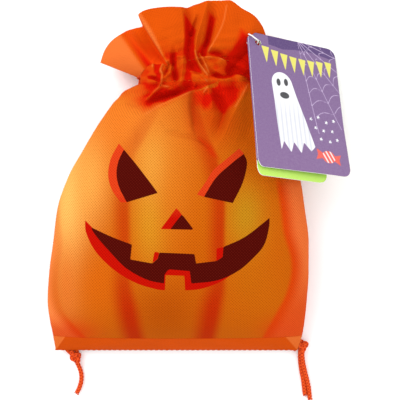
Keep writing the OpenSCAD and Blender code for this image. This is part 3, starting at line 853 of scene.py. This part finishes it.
BACK_RIM = [
    (0, -53.5, 107.5, 14, 0), (0.08, -48, 115, 10, -1), (0.18, -36, 124, 8, -1), (0.3, -22, 131, 6.5, -1),
    (0.42, -6, 137, 6, -1), (0.55, 12, 140, 6, -1), (0.7, 30, 140, 6, -1), (0.82, 46, 132, 7, -1),
    (0.92, 57, 119, 10, 0), (1, 63, 107.5, 16, 0),
]


def casing_grid(side, rows, cols):
    u = np.linspace(0, 1, cols)[None, :]
    v = np.linspace(0, 1, rows)[:, None]
    x, z = neck_outline(u + 0 * v, side)
    top = smooth_lookup(u, CASING_TOP)
    y = NECK_Y + (top - NECK_Y) * v
    return np.stack([x - shoulder(u, y), y, z], axis=-1), u


def frill_grid(side, rim, rows, cols):
    u = np.linspace(0, 1, cols)[None, :]
    v = np.linspace(0, 1, rows)[:, None]
    x, z = neck_outline(u + 0 * v, side)
    base = np.stack([x, smooth_lookup(u, CASING_TOP) + 0 * v, z], axis=-1)
    rim = np.asarray(rim, float)
    edge = np.stack([smooth_lookup(u, rim[:, [0, k]]) + 0 * v for k in (1, 2, 3)], axis=-1)
    bow = smooth_lookup(u, rim[:, [0, 4]])
    grid = base + (edge - base) * v[..., None]
    grid[..., 2] += bow * np.sin(math.pi * v) + 0 * u
    return grid, u + 0 * v, v + 0 * u


def make_front_casing(material):
    grid, u = casing_grid(1, 70, 300)
    x, y = grid[..., 0], grid[..., 1]
    height, valley = fold_height(x, y)
    base_z = grid[..., 2].copy()
    grid[..., 2] += (height + neck_crinkle(x, y)) * off_sides(u)
    over_cords(grid, base_z)
    shade = fold_shade(x, y, height, valley)
    pouch_cloth("front_gathered_casing", ["front_casing"], grid, material, "gathered", shade)


def make_back_casing(material):
    grid, u = casing_grid(-1, 40, 200)
    pleats = np.cos(u * 2 * math.pi * 13 + 0.12 * grid[..., 1])
    grid[..., 2] -= 0.9 * pleats * off_sides(u)
    shade = -0.6 * smoothstep(0, 1, -pleats)
    pouch_cloth("back_gathered_casing", ["back_casing"], grid, material, "gathered", shade, flip=True)


def make_front_frill(material):
    grid, u, v = frill_grid(1, FRONT_RIM, 90, 360)
    x, y = grid[..., 0], grid[..., 1]
    height, valley = fold_height(x, y)
    front = smoothstep(0.27, 0.30, u)
    base_z = grid[..., 2].copy()
    share = (0.25 + 0.75 * front) * off_sides(u)
    grid[..., 2] += (height + (1 - v) * neck_crinkle(x, y)) * share
    grid[..., 2] += 0.5 * crinkle(x, y, 13, 33) * v
    over_cords(grid, base_z)
    shade = fold_shade(x, y, height, valley)
    # the left flap: a painted highlight outside its fold line, and painted shade in deep red along it
    # where it goes behind the front flap
    from_fold = x + 0.69 * (y - 110)
    red = np.exp(-(((from_fold + 24.5) / 4) ** 2)) * (1 - 0.7 * smoothstep(104, 126, y))
    behind = 1 - smoothstep(0.292, 0.297, u)
    inner = smoothstep(-26, -20, from_fold)
    inner_shade = -0.5 * inner * (1 - smoothstep(112, 125, y))
    flap_shade = 0.8 * smoothstep(-26.5, -31.5, from_fold) + np.minimum(inner_shade, -red)
    shade = shade * (1 - behind) + behind * flap_shade
    # painted glow on the inside of the left flap
    glow = 0.4 * behind * inner * (1 - 0.6 * smoothstep(106, 100, y))
    pouch_cloth("front_frill_cloth", ["front_frill"], grid, material, "gathered", shade, glow=glow)


def make_back_frill(material):
    grid, u, v = frill_grid(-1, BACK_RIM, 60, 260)
    pleats = np.cos(u * 2 * math.pi * 9 + 2.0 * v)
    grid[..., 2] += 1.6 * pleats * v * off_sides(u, 0.5) + 0.8 * v
    shade = -0.6 * smoothstep(0, 1, pleats) * (1 - 0.6 * v)
    pouch_cloth("back_frill_cloth", ["back_frill"], grid, material, "gathered", shade, flip=True)


# ---------------------------------------------------------------- threads and cords


def tube_mesh(path, radius, sides, relief=None):
    """Points and faces of a tube. relief(distance along, angle round) scales its radius."""
    tangent = np.gradient(path, axis=0)
    tangent /= np.linalg.norm(tangent, axis=1)[:, None]
    normal = np.cross(tangent[0], (0.3, 0.2, 0.9))
    frames = []
    for t in tangent:
        normal = normal - t * (normal @ t)
        normal = normal / np.linalg.norm(normal)
        frames.append((normal, np.cross(t, normal)))
    a, b = (np.array([f[k] for f in frames]) for k in (0, 1))
    angle = 2 * math.pi * np.arange(sides) / sides
    s, q = np.meshgrid(distances(path), angle, indexing="ij")
    r = radius * (relief(s, q) if relief else np.ones_like(s))
    outward = np.cos(q)[..., None] * a[:, None] + np.sin(q)[..., None] * b[:, None]
    points = path[:, None] + r[..., None] * outward
    n = len(path)
    i, j = np.meshgrid(np.arange(n - 1), np.arange(sides), indexing="ij")
    k = (j + 1) % sides
    faces = np.stack([i * sides + j, i * sides + k, (i + 1) * sides + k, (i + 1) * sides + j], axis=-1)
    faces = faces.reshape(-1, 4).tolist()
    faces += [list(range(sides))[::-1], [(n - 1) * sides + j for j in range(sides)]]
    cloth = np.stack([q * radius, s, 0 * s], axis=-1).reshape(-1, 3)
    return points.reshape(-1, 3), faces, cloth


CORD_D = 3.2
BRAID_PITCH = 6.5
STRING_D = 1.0
FRAY_STRANDS = 16
FRAY_R = 0.28


def braid(s, q):
    """Two sets of strands that cross on the cord's surface."""
    turn = 2 * math.pi * s / BRAID_PITCH
    over = np.maximum(np.cos(3 * q + 3 * turn), np.cos(3 * q - 3 * turn))
    return 0.88 + 0.12 * over


def twist(s, q):
    return 0.9 + 0.1 * np.abs(np.cos(1.5 * q + 2 * math.pi * s / 5))


def frayed_end(path, seed):
    """Fine strands that spread from a cord's cut end, as a list of tubes."""
    draw = random.Random(seed)
    along = (path[-1] - path[-4]) / np.linalg.norm(path[-1] - path[-4])
    across = np.cross(along, (0, 0, 1))
    tubes = []
    for _ in range(FRAY_STRANDS):
        side, up = draw.uniform(-1, 1), draw.uniform(-1, 1)
        root = path[-1] - along * 0.6 + across * side * 1.1 + np.array([0, 0, up * 0.8])
        tip = root + along * draw.uniform(1.1, 2.3) + across * side * draw.uniform(0.3, 1.2)
        tip[2] = max(0.4, tip[2] + 0.6 * up)
        strand = root + np.linspace(0, 1, 6)[:, None] * (tip - root)
        tubes.append(tube_mesh(strand, FRAY_R, 6, lambda s, q: 1 - 0.2 * s))
    return tubes


def joined(tubes):
    """Several tubes as one mesh's points, faces and cloth coordinates."""
    verts, faces, cloths = [], [], []
    for v, f, cloth in tubes:
        faces += [[k + len(verts) for k in face] for face in f]
        verts += v.tolist()
        cloths += cloth.tolist()
    return np.array(verts), faces, np.array(cloths)


def cord_piece(name, body, nodes, points, step, sides, material, diameter=CORD_D, relief=braid,
               fray=None):
    """A cord along the smooth curve through the points, and that curve's points."""
    path = even_path(points, step)
    tubes = [tube_mesh(path, diameter / 2, sides, relief)]
    if fray is not None:
        tubes += frayed_end(path, fray)
    verts, faces, cloth = joined(tubes)
    piece = mesh_piece(name, verts, faces, [material], cloth=cloth)
    attach(piece, body, nodes)
    return piece, path


def cord_material():
    material, tree, bsdf = new_material("braided_cord", roughness=0.8, specular=0.1)
    waves = []
    for turn in (6 * math.pi / BRAID_PITCH, -6 * math.pi / BRAID_PITCH):
        round_phase = math_node(tree, "MULTIPLY", cloth_axis(tree, 0), 3 / (CORD_D / 2))
        along_phase = math_node(tree, "MULTIPLY", cloth_axis(tree, 1), turn)
        waves.append(math_node(tree, "COSINE", math_node(tree, "ADD", round_phase, along_phase)))
    over = math_node(tree, "MAXIMUM", *waves)
    fuzz = cloth_noise(tree, 3.5, 3.0)
    # darker where the strands dip under: painted shade in the braid's hollows
    colour = mix_colour(tree, ramp(tree, over, 0.1, 0.9), (0.37, 0.014, 0.0014), (0.72, 0.076, 0.008))
    colour = mix_colour(tree, ramp(tree, fuzz, 0.45, 0.75, 0, 0.45), colour, (0.85, 0.18, 0.045))
    put_on(tree, bsdf, colour, math_node(tree, "ADD", over, fuzz))
    return material


LEFT_FRONT_RUN = [(-23.1, 97.5, 20), (-26.4, 98.2, 18.6), (-27.7, 97.9, 14.6), (-27, 96.8, 9.3),
                  (-28.4, 92, 4.6), (-35.5, 82, 2), (-47, 66, 1.7), (-60, 48, 1.7), (-75, 16, 1.7),
                  (-79.5, -17, 1.7), (-81.5, -50, 1.7), (-82.1, -72, 1.8), (-81.9, -86.5, 1.95),
                  (-79, -89.8, 2), (-76, -92.6, 2.6), (-74, -94.6, 3.4)]
LEFT_BACK_RUN = [(-23.1, 97.5, 14), (-26.4, 96.4, 12), (-26, 94.2, 7), (-25.4, 90, 3.2),
                 (-31, 81, 1.7), (-43, 64.5, 1.7), (-56, 46.5, 1.7), (-71, 15, 1.7), (-75.5, -17, 1.7),
                 (-77.5, -50, 1.7), (-78.4, -72, 1.8), (-78.2, -84.5, 1.95), (-75, -87.8, 2),
                 (-72.6, -89.8, 2.3), (-71.6, -92, 2.8)]
RIGHT_FRONT_RUN = [(47.1, 103.5, 20), (50.9, 104.4, 19), (52.7, 104.2, 15), (52.8, 103.2, 9.5),
                   (53.4, 95, 4.5), (55, 83, 2), (62, 66, 1.7), (70, 48, 1.7), (79, 16, 1.7),
                   (82.5, -17, 1.7), (81.5, -50, 1.7), (80.5, -70, 1.8), (79.9, -84.6, 1.95),
                   (81.4, -87.2, 2)]
RIGHT_BACK_RUN = [(47.1, 103.5, 14), (50.4, 102.4, 12), (50, 100.2, 7), (49.4, 94, 3.2),
                  (50.8, 82, 1.7), (58, 64.5, 1.7), (66, 46.5, 1.7), (75, 15, 1.7), (78.5, -17, 1.7),
                  (77.5, -50, 1.7), (76.4, -70, 1.8), (76.1, -84.6, 1.95), (78, -88.4, 2),
                  (81, -90.3, 2)]
LEFT_TAIL = [(-75.4, -90.4, 3), (-74, -94, 4), (-72.5, -97.5, 3), (-70.7, -101.5, 1.9),
             (-69, -106.5, 1.7), (-68.8, -111.5, 1.7), (-70, -116.5, 1.7), (-71.8, -120.3, 1.7)]
RIGHT_TAIL_INNER = [(84.4, -85, 3.6), (83.8, -91.5, 2.6), (83.9, -97.5, 1.7), (84.7, -104.5, 1.7),
                    (86, -111.5, 1.7), (87.2, -121.4, 1.7)]
RIGHT_TAIL_OUTER = [(86.8, -86, 4.2), (85, -92, 5.2), (85.4, -98, 4.6), (87.1, -105.5, 3.4),
                    (88.9, -112.5, 2.4), (90, -118.4, 1.9), (90.6, -124.4, 1.7)]
STRING_PATH = [(48.8, 109.9, 27.2), (48.2, 112.4, 28.2), (46.8, 115.6, 29.2), (44.8, 119.3, 30.2),
               (43.9, 121.9, 31.5), (45.2, 123.5, 32.3), (47.8, 122.3, 33.5), (50.4, 120.3, 33.9),
               (52.2, 119.1, 32.8), (52, 118, 29.8), (50.9, 117.2, 27.8), (49, 114.3, 28),
               (47.3, 111.7, 28.6), (46.8, 109.4, 27.9)]
LEFT_KNOT = (-72.2, -95.6, 3.7)
RIGHT_KNOT = (85.3, -87.4, 3.8)

# The knots' size across and in height, and the half thickness of the cord pulled tight in them
KNOT_SCALE = 0.92
KNOT_RISE = 0.9
KNOT_CORD_R = 1.55


def make_knot(name, body, node, centre, turn, stretch, material):
    """A tight overhand knot: a trefoil of cord, pulled long in the direction of the tails."""
    t = np.linspace(0, 2 * math.pi, 130, endpoint=False)
    x = np.sin(t) + 2 * np.sin(2 * t)
    y = np.cos(t) - 2 * np.cos(2 * t)
    loop = np.stack([x, y, -np.sin(3 * t) * 1.5], axis=1)
    loop *= (KNOT_SCALE, KNOT_SCALE * stretch, KNOT_RISE)
    c, s = math.cos(turn), math.sin(turn)
    loop = loop @ np.array([[c, s, 0], [-s, c, 0], [0, 0, 1]]) + centre
    loop = np.vstack([loop, loop[:1]])
    verts, faces, cloth = tube_mesh(loop, KNOT_CORD_R, 16, braid)
    piece = mesh_piece(name, verts, faces, [material], cloth=cloth)
    attach(piece, body, [node])
    return piece


def make_cords(material):
    for name, points in (("left_front", LEFT_FRONT_RUN), ("left_back", LEFT_BACK_RUN),
                         ("right_front", RIGHT_FRONT_RUN), ("right_back", RIGHT_BACK_RUN)):
        side, face = name.split("_")
        nodes = [f"{side}_cord_{face}_run"]
        piece, path = cord_piece(f"{name}_drawcord", "pouch", nodes, points, 0.8, 12, material)
    left_knot = make_knot("left_overhand_knot", "left_tail_end", "left_knot",
                          LEFT_KNOT, 0.35, 1.12, material)
    right_knot = make_knot("right_overhand_knot", "right_tail_end", "right_knot",
                           RIGHT_KNOT, -0.25, 1.35, material)
    tails = (
        ("left_cord_tail", "left_tail_end", LEFT_TAIL, "left_tail", [left_knot]),
        ("right_inner_cord_tail", "right_tail_end", RIGHT_TAIL_INNER, "right_tail_inner", [right_knot]),
        ("right_outer_cord_tail", "right_tail_end", RIGHT_TAIL_OUTER, "right_tail_outer", []),
    )
    for name, body, points, node, pieces in tails:
        piece, path = cord_piece(name, body, (node,), points, 0.35, 18, material, fray=len(name))


def make_loops(material):
    """The turn that each cord makes through the gathered casing, held close inside it."""
    for side, y, start, far in (("left", 97.5, -23.1, 46.5), ("right", 103.5, 47.1, -22.5)):
        back = 4 if far < start else -4
        points = [(start, y, 20), (12, y, 20.4), (far + back, y, 20.2), (far, y, 17),
                  (far + back, y, 13.8), (12, y, 13.6), (start, y, 14)]
        cord_piece(f"{side}_cord_in_casing", "pouch", [f"{side}_cord_loop"], points, 0.8, 12, material)


def make_string(material):
    piece, path = cord_piece("tag_thread", "pouch", ("tag_string",), STRING_PATH, 0.3, 12, material,
                             diameter=STRING_D, relief=twist)


# ---------------------------------------------------------------- the hang tag

# The punched hole's place and the tag's turns about X, Y and Z, in degrees
TAG_POS = np.array([52, 118, 29.8])
TAG_TURN = (-21.5, 25.5, -6.5)
HOLE_R = 2.2
CARD_T = 0.6
CORNER_R = 6

# Each leaf's x from and to, and y from and to, in the tag's own frame
COVER_BOX = (-7.2, 62, -89, 7)
BACK_BOX = (-7, 45, -94, 7)

# The rounded edge where the leaves join, short of the cover's corners
FOLD_X = -6.6
FOLD_R = 0.98
FOLD_INSET = 4.5
FOLD_POINTS = 60
FOLD_SIDES = 12


def tag_axes():
    a, b, c = (math.radians(v) for v in TAG_TURN)
    rx = np.array([[1, 0, 0], [0, math.cos(a), -math.sin(a)], [0, math.sin(a), math.cos(a)]])
    ry = np.array([[math.cos(b), 0, math.sin(b)], [0, 1, 0], [-math.sin(b), 0, math.cos(b)]])
    rz = np.array([[math.cos(c), -math.sin(c), 0], [math.sin(c), math.cos(c), 0], [0, 0, 1]])
    return rz @ ry @ rx


def card_grid(box, step, z):
    """A rounded card with a punched hole at its origin: points and faces, in the tag's own frame."""
    x_low, x_high, y_low, y_high = box
    rows = int((y_high - y_low) / step) + 1
    cols = int((x_high - x_low) / step) + 1
    # rows bunch up at the rounded ends
    t = np.linspace(0, 1, rows)
    y = y_low + (y_high - y_low) * (t - 0.06 * np.sin(2 * math.pi * t) / (2 * math.pi) * 4)
    inset = np.zeros(rows)
    for end, sign in ((y_low, 1), (y_high, -1)):
        depth = np.maximum(0, CORNER_R - sign * (y - end))
        inset = np.maximum(inset, CORNER_R - np.sqrt(np.maximum(0, CORNER_R**2 - depth**2)))
    share = np.linspace(0, 1, cols)[None, :]
    left, right = (x_low + 0.6 * inset)[:, None], (x_high - inset)[:, None]
    x = left + (right - left) * share
    y = y[:, None] + 0 * x
    distance = np.hypot(x, y)
    ring = np.abs(distance - HOLE_R) < 0.5 * step
    scale = np.where(ring, HOLE_R / np.maximum(distance, 1e-6), 1)
    x, y = x * scale, y * scale
    points = np.stack([x, y, z + 0 * x], axis=-1).reshape(-1, 3)
    faces = grid_faces(rows, cols)
    middle = points[faces].mean(axis=1)
    return points, faces[np.hypot(middle[:, 0], middle[:, 1]) > HOLE_R]


# Middles of the small stars
STARS = [(36, -50), (42, -48), (48, -51), (54, -49), (39, -56), (45, -57.5), (52, -57), (42, -64),
         (49, -65), (55, -63)]


def turned(shape, centre, angle):
    c, s = math.cos(angle), math.sin(angle)
    return np.asarray(shape, float) @ np.array([[c, s], [-s, c]]) + centre


def sheet_ghost():
    """A plain draped-sheet ghost with a round top and a pointed hem, about its own middle."""
    top = [(8 * math.cos(a), 19 + 9 * math.sin(a)) for a in np.linspace(0, math.pi, 13)]
    hem = [(-13, -27), (-9.5, -21), (-6, -29), (-2, -22), (1.5, -30), (5.5, -22.5), (9.5, -29),
           (13.5, -26)]
    right = [(11.5, -6), (9, 10)]
    left = [(-9, 8), (-11, -8)]
    return turned(top + left + hem + right, (19, -47), 0.16)


def tag_art(x, y):
    """Signed distances of the cover's art, negative inside it, by the name of its ink."""
    ghost = outside(x, y, sheet_ghost())
    eyes = [np.hypot((x - cx) / 1.0, (y - cy) / 1.7) - 1.6 for cx, cy in ((13.2, -27), (19, -26.2))]
    mouth = np.hypot((x - 17) / 1.5, y + 36) - 2.4
    face = np.minimum.reduce([*eyes, mouth])
    # a cobweb that hangs from the top edge
    corner = (31, 9)
    spread = np.hypot(x - corner[0], y - corner[1])
    angle = np.arctan2(y - corner[1], x - corner[0])
    sector = ((angle + math.pi) / (math.pi / 11)) % 1
    spokes = spread * np.minimum(sector, 1 - sector) * math.pi / 11
    rings = np.abs(((spread + 3.4 * np.sin(math.pi * sector)) / 9) % 1 - 0.5) * 9
    web = np.minimum(spokes, np.where(spread < 58, rings, 9))
    web = np.where((spread < 70) & (angle > -1.45), web, 9)
    web = np.where(ghost < 1, 9, web) - 0.26
    # a string of pennants
    garland = np.full(x.shape, 99.0)
    for k in range(8):
        cx = 5.2 + 7.1 * k
        top = -1.0 - 3.6 * math.sin(math.pi * (k + 0.5) / 8) - 0.35 * k
        pennant = [(cx - 2.9, top), (cx + 2.9, top - 0.4), (cx + 0.3, top - 12.5)]
        garland = np.minimum(garland, outside(x, y, pennant))
    # a wrapped sweet
    middle = (46, -76.5)
    wing = [(0, 0), (9.5, 4), (8.3, 0), (9.5, -4)]
    ball = np.hypot((x - middle[0]) / 1.15, y - middle[1]) - 4.4
    sweet = ball
    for turn in (-0.15, math.pi - 0.15):
        sweet = np.minimum(sweet, outside(x, y, turned(wing, middle, turn)))
    stripe = np.maximum(ball, np.abs(((x + 0.5 * y) / 3.2) % 1 - 0.5) * 3.2 - 0.6)
    # small stars
    stars = np.full(x.shape, 99.0)
    for cx, cy in STARS:
        around = np.arctan2(y - cy, x - cx)
        stars = np.minimum(stars, np.hypot(x - cx, y - cy) - 1.5 * (0.65 + 0.35 * np.cos(5 * around)))
    band = np.maximum(-1.5 + 2.2 * np.abs(np.cos(x / 12)) - y, 8 - x)
    return {
        "band_ink": band, "web_ink": web, "white_ink": np.minimum(ghost, stars), "yellow_ink": garland,
        "dark_ink": np.maximum(ghost, face), "sweet_ink": sweet, "stripe_ink": stripe,
    }


def card_material(name, tint, roughness=0.45, specular=0.2):
    material, tree, bsdf = new_material(name, roughness=roughness, specular=specular)
    grain = cloth_noise(tree, 0.9, 4.0)
    colour = mix_colour(tree, ramp(tree, grain, 0.3, 0.7, 0, 0.04), tint(tree), (0.9, 0.9, 0.9))
    put_on(tree, bsdf, colour, grain, 0.05, 0.0002)
    return material


PAPER_WHITE = (0.85, 0.84, 0.82)
VIOLET = (0.160, 0.092, 0.215)
INKS = {
    "band_ink": (0.075, 0.035, 0.140), "web_ink": (0.44, 0.34, 0.52),
    "white_ink": (0.72, 0.72, 0.74), "yellow_ink": (0.62, 0.58, 0.11), "dark_ink": (0.045, 0.045, 0.05),
    "sweet_ink": (0.64, 0.09, 0.07), "stripe_ink": (0.75, 0.62, 0.60),
}


def violet_tint(tree):
    return mix_colour(tree, ramp(tree, cloth_axis(tree, 1), -89, 7), (0.185, 0.105, 0.235), VIOLET)


def cover_tint(tree):
    colour = violet_tint(tree)
    folds = math_node(tree, "COSINE", math_node(tree, "MULTIPLY", cloth_axis(tree, 0), 1.9))
    for name, ink in INKS.items():
        inside = ramp(tree, number(tree, name), 0.15, -0.15)
        if name == "white_ink":
            lower = ramp(tree, cloth_axis(tree, 1), -34, -50)
            in_shade = math_node(tree, "MULTIPLY", ramp(tree, folds, -0.4, 0.8), lower)
            ink = mix_colour(tree, in_shade, ink, (0.56, 0.57, 0.62))
        colour = mix_colour(tree, inside, colour, ink)
    return colour


def lime_tint(tree):
    """Painted light and shade: lighter towards the free edge, darker with painted shade in the angle of
    the fold.
    """
    depth = ramp(tree, cloth_axis(tree, 1), -94, -60)
    return mix_colour(tree, depth, (0.42, 0.66, 0.10), (0.20, 0.36, 0.03))


def make_leaf(name, body, node, slot, local, faces, materials, **attributes):
    world = local @ tag_axes().T + TAG_POS
    piece = mesh_piece(name, world, faces, materials, cloth=local, **attributes)
    solid = piece.modifiers.new("card", "SOLIDIFY")
    solid.thickness = CARD_T * MM
    solid.offset = -1
    solid.material_offset = 1
    solid.material_offset_rim = 2
    attach(piece, body, [node])


def make_tag():
    lime = card_material("lime_card_face", lime_tint)
    white = card_material("white_card_edge", lambda tree: PAPER_WHITE, 0.6, 0.1)
    violet = card_material("violet_card_fold", violet_tint)
    cover_face = card_material("violet_printed_card", cover_tint)
    points, faces = card_grid(COVER_BOX, 0.5, 1.0)
    x, y = points[:, 0], points[:, 1]
    away = smoothstep(-45, -89, y)
    points[:, 2] += 1.6 * away * smoothstep(10, 62, x) + 0.8 * np.sin((x + 7) / 69 * math.pi) * away
    make_leaf("tag_cover_card", "cover_leaf", "tag_cover", "violet_card", points, faces,
              [cover_face, lime, white], **tag_art(x, y))
    points, faces = card_grid(BACK_BOX, 1.0, -0.4)
    points[:, 2] -= 0.5 * smoothstep(-50, -94, points[:, 1])
    make_leaf("tag_back_card", "tag", "tag_back_leaf", "lime_card", points, faces, [lime, white, white])
    fold_y = np.linspace(COVER_BOX[2] + FOLD_INSET, COVER_BOX[3] - FOLD_INSET, FOLD_POINTS)
    fold_path = np.stack([np.full(FOLD_POINTS, FOLD_X), fold_y, np.zeros(FOLD_POINTS)], axis=1)
    verts, faces, cloth = tube_mesh(fold_path, FOLD_R, FOLD_SIDES)
    cloth[:, 1] = np.repeat(fold_y, FOLD_SIDES)
    fold = mesh_piece("tag_folded_edge", verts @ tag_axes().T + TAG_POS, faces, [violet], cloth=cloth)
    attach(fold, "tag", [])


# ---------------------------------------------------------------- small parts


def thread_material(name, specular, scale, distortion, dark, light):
    material, tree, bsdf = new_material(name, roughness=0.7, specular=specular)
    inputs = {"Vector": cloth_place(tree), "Scale": scale, "Distortion": distortion}
    ply = shader_node(tree, "TexWave", inputs).outputs["Fac"]
    put_on(tree, bsdf, mix_colour(tree, ply, dark, light))
    return material


def rounded_ends(length):
    """A tube's relief that is full in its middle and thins out at both ends."""
    return lambda s, q: 0.35 + 0.65 * np.sin(np.pi * np.clip(s / length, 0.05, 0.95)) ** 0.5


def stitch_row(name, node, places, material, radius=0.17):
    """One mesh of short rounded stitches, each from one place to another."""
    tubes = []
    for start, end in places:
        t = np.linspace(0, 1, 7)
        path = np.asarray(start) + t[:, None] * (np.asarray(end) - np.asarray(start))
        path[:, 2] += 0.15 * np.sin(np.pi * t)
        tubes.append(tube_mesh(path, radius, 8, rounded_ends(path_length(path))))
    verts, faces, cloths = joined(tubes)
    piece = mesh_piece(name, verts, faces, [material], cloth=cloths)
    attach(piece, "pouch", [node])


def casing_height(x, y, side):
    """Height of the casing's outer surface in the flat middle of the neck."""
    if side < 0:
        return NECK_Z - NECK_R - 0.6
    at = np.array([[[x, y, NECK_Z + NECK_R]]], float)
    at[..., 2] += fold_height(at[..., 0], at[..., 1])[0] + neck_crinkle(at[..., 0], at[..., 1])
    over_cords(at, NECK_Z + NECK_R)
    return float(at[0, 0, 2])


# How far the casing's rows of stitches are above its foot, and the stitches' spacing and length
ROWS_ABOVE_NECK = (1, 15)
CASING_PITCH = 3.2
CASING_STITCH = 1.9
SEAM_PITCH = 3.6
SEAM_STITCH = 2
SEAM_Z = 5.2


def make_stitching(material):
    for face, side in (("front", 1), ("back", -1)):
        places = []
        for y in (NECK_Y + row for row in ROWS_ABOVE_NECK):
            for x in np.arange(-10, 36, CASING_PITCH):
                ends = [(a, y, casing_height(a, y, side) + side * 0.12) for a in (x, x + CASING_STITCH)]
                places.append(ends)
        stitch_row(f"{face}_casing_stitches", f"{face}_casing_stitching", places, material)
    middle, half = body_span(np.array(float(BOTTOM_Y)))
    places = [((x, BOTTOM_Y - 0.1, SEAM_Z), (x + SEAM_STITCH, BOTTOM_Y - 0.1, SEAM_Z))
              for x in np.arange(middle - half + 4, middle + half - 5, SEAM_PITCH)]
    stitch_row("bottom_seam_stitches", "bottom_seam_stitching", places, material)


TAPE_T = 0.35
TAPE_WIDTH = 5
TAPE_HALF_LENGTH = 4.5
TAPE_HALF_HEIGHT = 1.85


def make_tabs(material):
    for side, x, y in (("left", -80.4, -84.5), ("right", 78, -82)):
        t = np.linspace(0, 2 * math.pi, 48, endpoint=False)
        c, s = np.cos(t), np.sin(t)
        ring_x = x + TAPE_HALF_LENGTH * np.sign(c) * np.abs(c) ** 0.35
        ring_z = 2.1 + TAPE_HALF_HEIGHT * np.sign(s) * np.abs(s) ** 0.5
        rows = np.linspace(y - TAPE_WIDTH / 2, y + TAPE_WIDTH / 2, 8)
        grid = np.array([[(a, r, b) for a, b in zip(ring_x, ring_z)] for r in rows])
        grid = np.concatenate([grid, grid[:, :1]], axis=1)
        piece = sheet_piece(f"{side}_tape_loop", grid, material, TAPE_T)
        attach(piece, "pouch", [f"{side}_corner_tab"])


# In metres; just under z = 0, so that the floor doesn't lie in the pieces that rest on it
FLOOR_HALF = 3
FLOOR_Z = -0.0002


def make_floor():
    material, tree, bsdf = new_material("pale_floor", roughness=0.9, specular=0.1)
    grain = shader_node(tree, "TexNoise", {"Scale": 3.0}).outputs[0]
    speckle = ramp(tree, grain, 0.3, 0.7, 0, 0.03)
    colour = mix_colour(tree, speckle, (0.97, 0.97, 0.97), (0.95, 0.95, 0.95))
    put_on(tree, bsdf, colour)
    mesh = bpy.data.meshes.new("floor")
    corners = [(x * FLOOR_HALF, y * FLOOR_HALF, FLOOR_Z) for x, y in ((-1, -1), (1, -1), (1, 1), (-1, 1))]
    mesh.from_pydata(corners, [], [(0, 1, 2, 3)])
    new_object("floor", mesh, [material])


make_camera()
cord_cloth = cord_material()
make_cords(cord_cloth)
make_loops(cord_cloth)
make_string(thread_material("white_thread", 0.2, 1.6, 0.8, (0.62, 0.60, 0.57), (0.88, 0.87, 0.85)))
orange_cloth = nonwoven("orange_spunbond", plain_tint(ORANGE), 0.4)
printed_cloth = nonwoven("printed_spunbond", printed_tint, 0.9)
make_front_panel(printed_cloth)
make_back_panel(orange_cloth)
make_gusset(orange_cloth)
make_front_casing(orange_cloth)
make_back_casing(orange_cloth)
make_front_frill(orange_cloth)
make_back_frill(orange_cloth)
make_tag()
make_stitching(thread_material("sewing_thread", 0.1, 2.4, 0.5,
                               (0.46, 0.045, 0.002), (0.60, 0.078, 0.004)))
make_tabs(orange_cloth)
make_floor()
make_lighting()
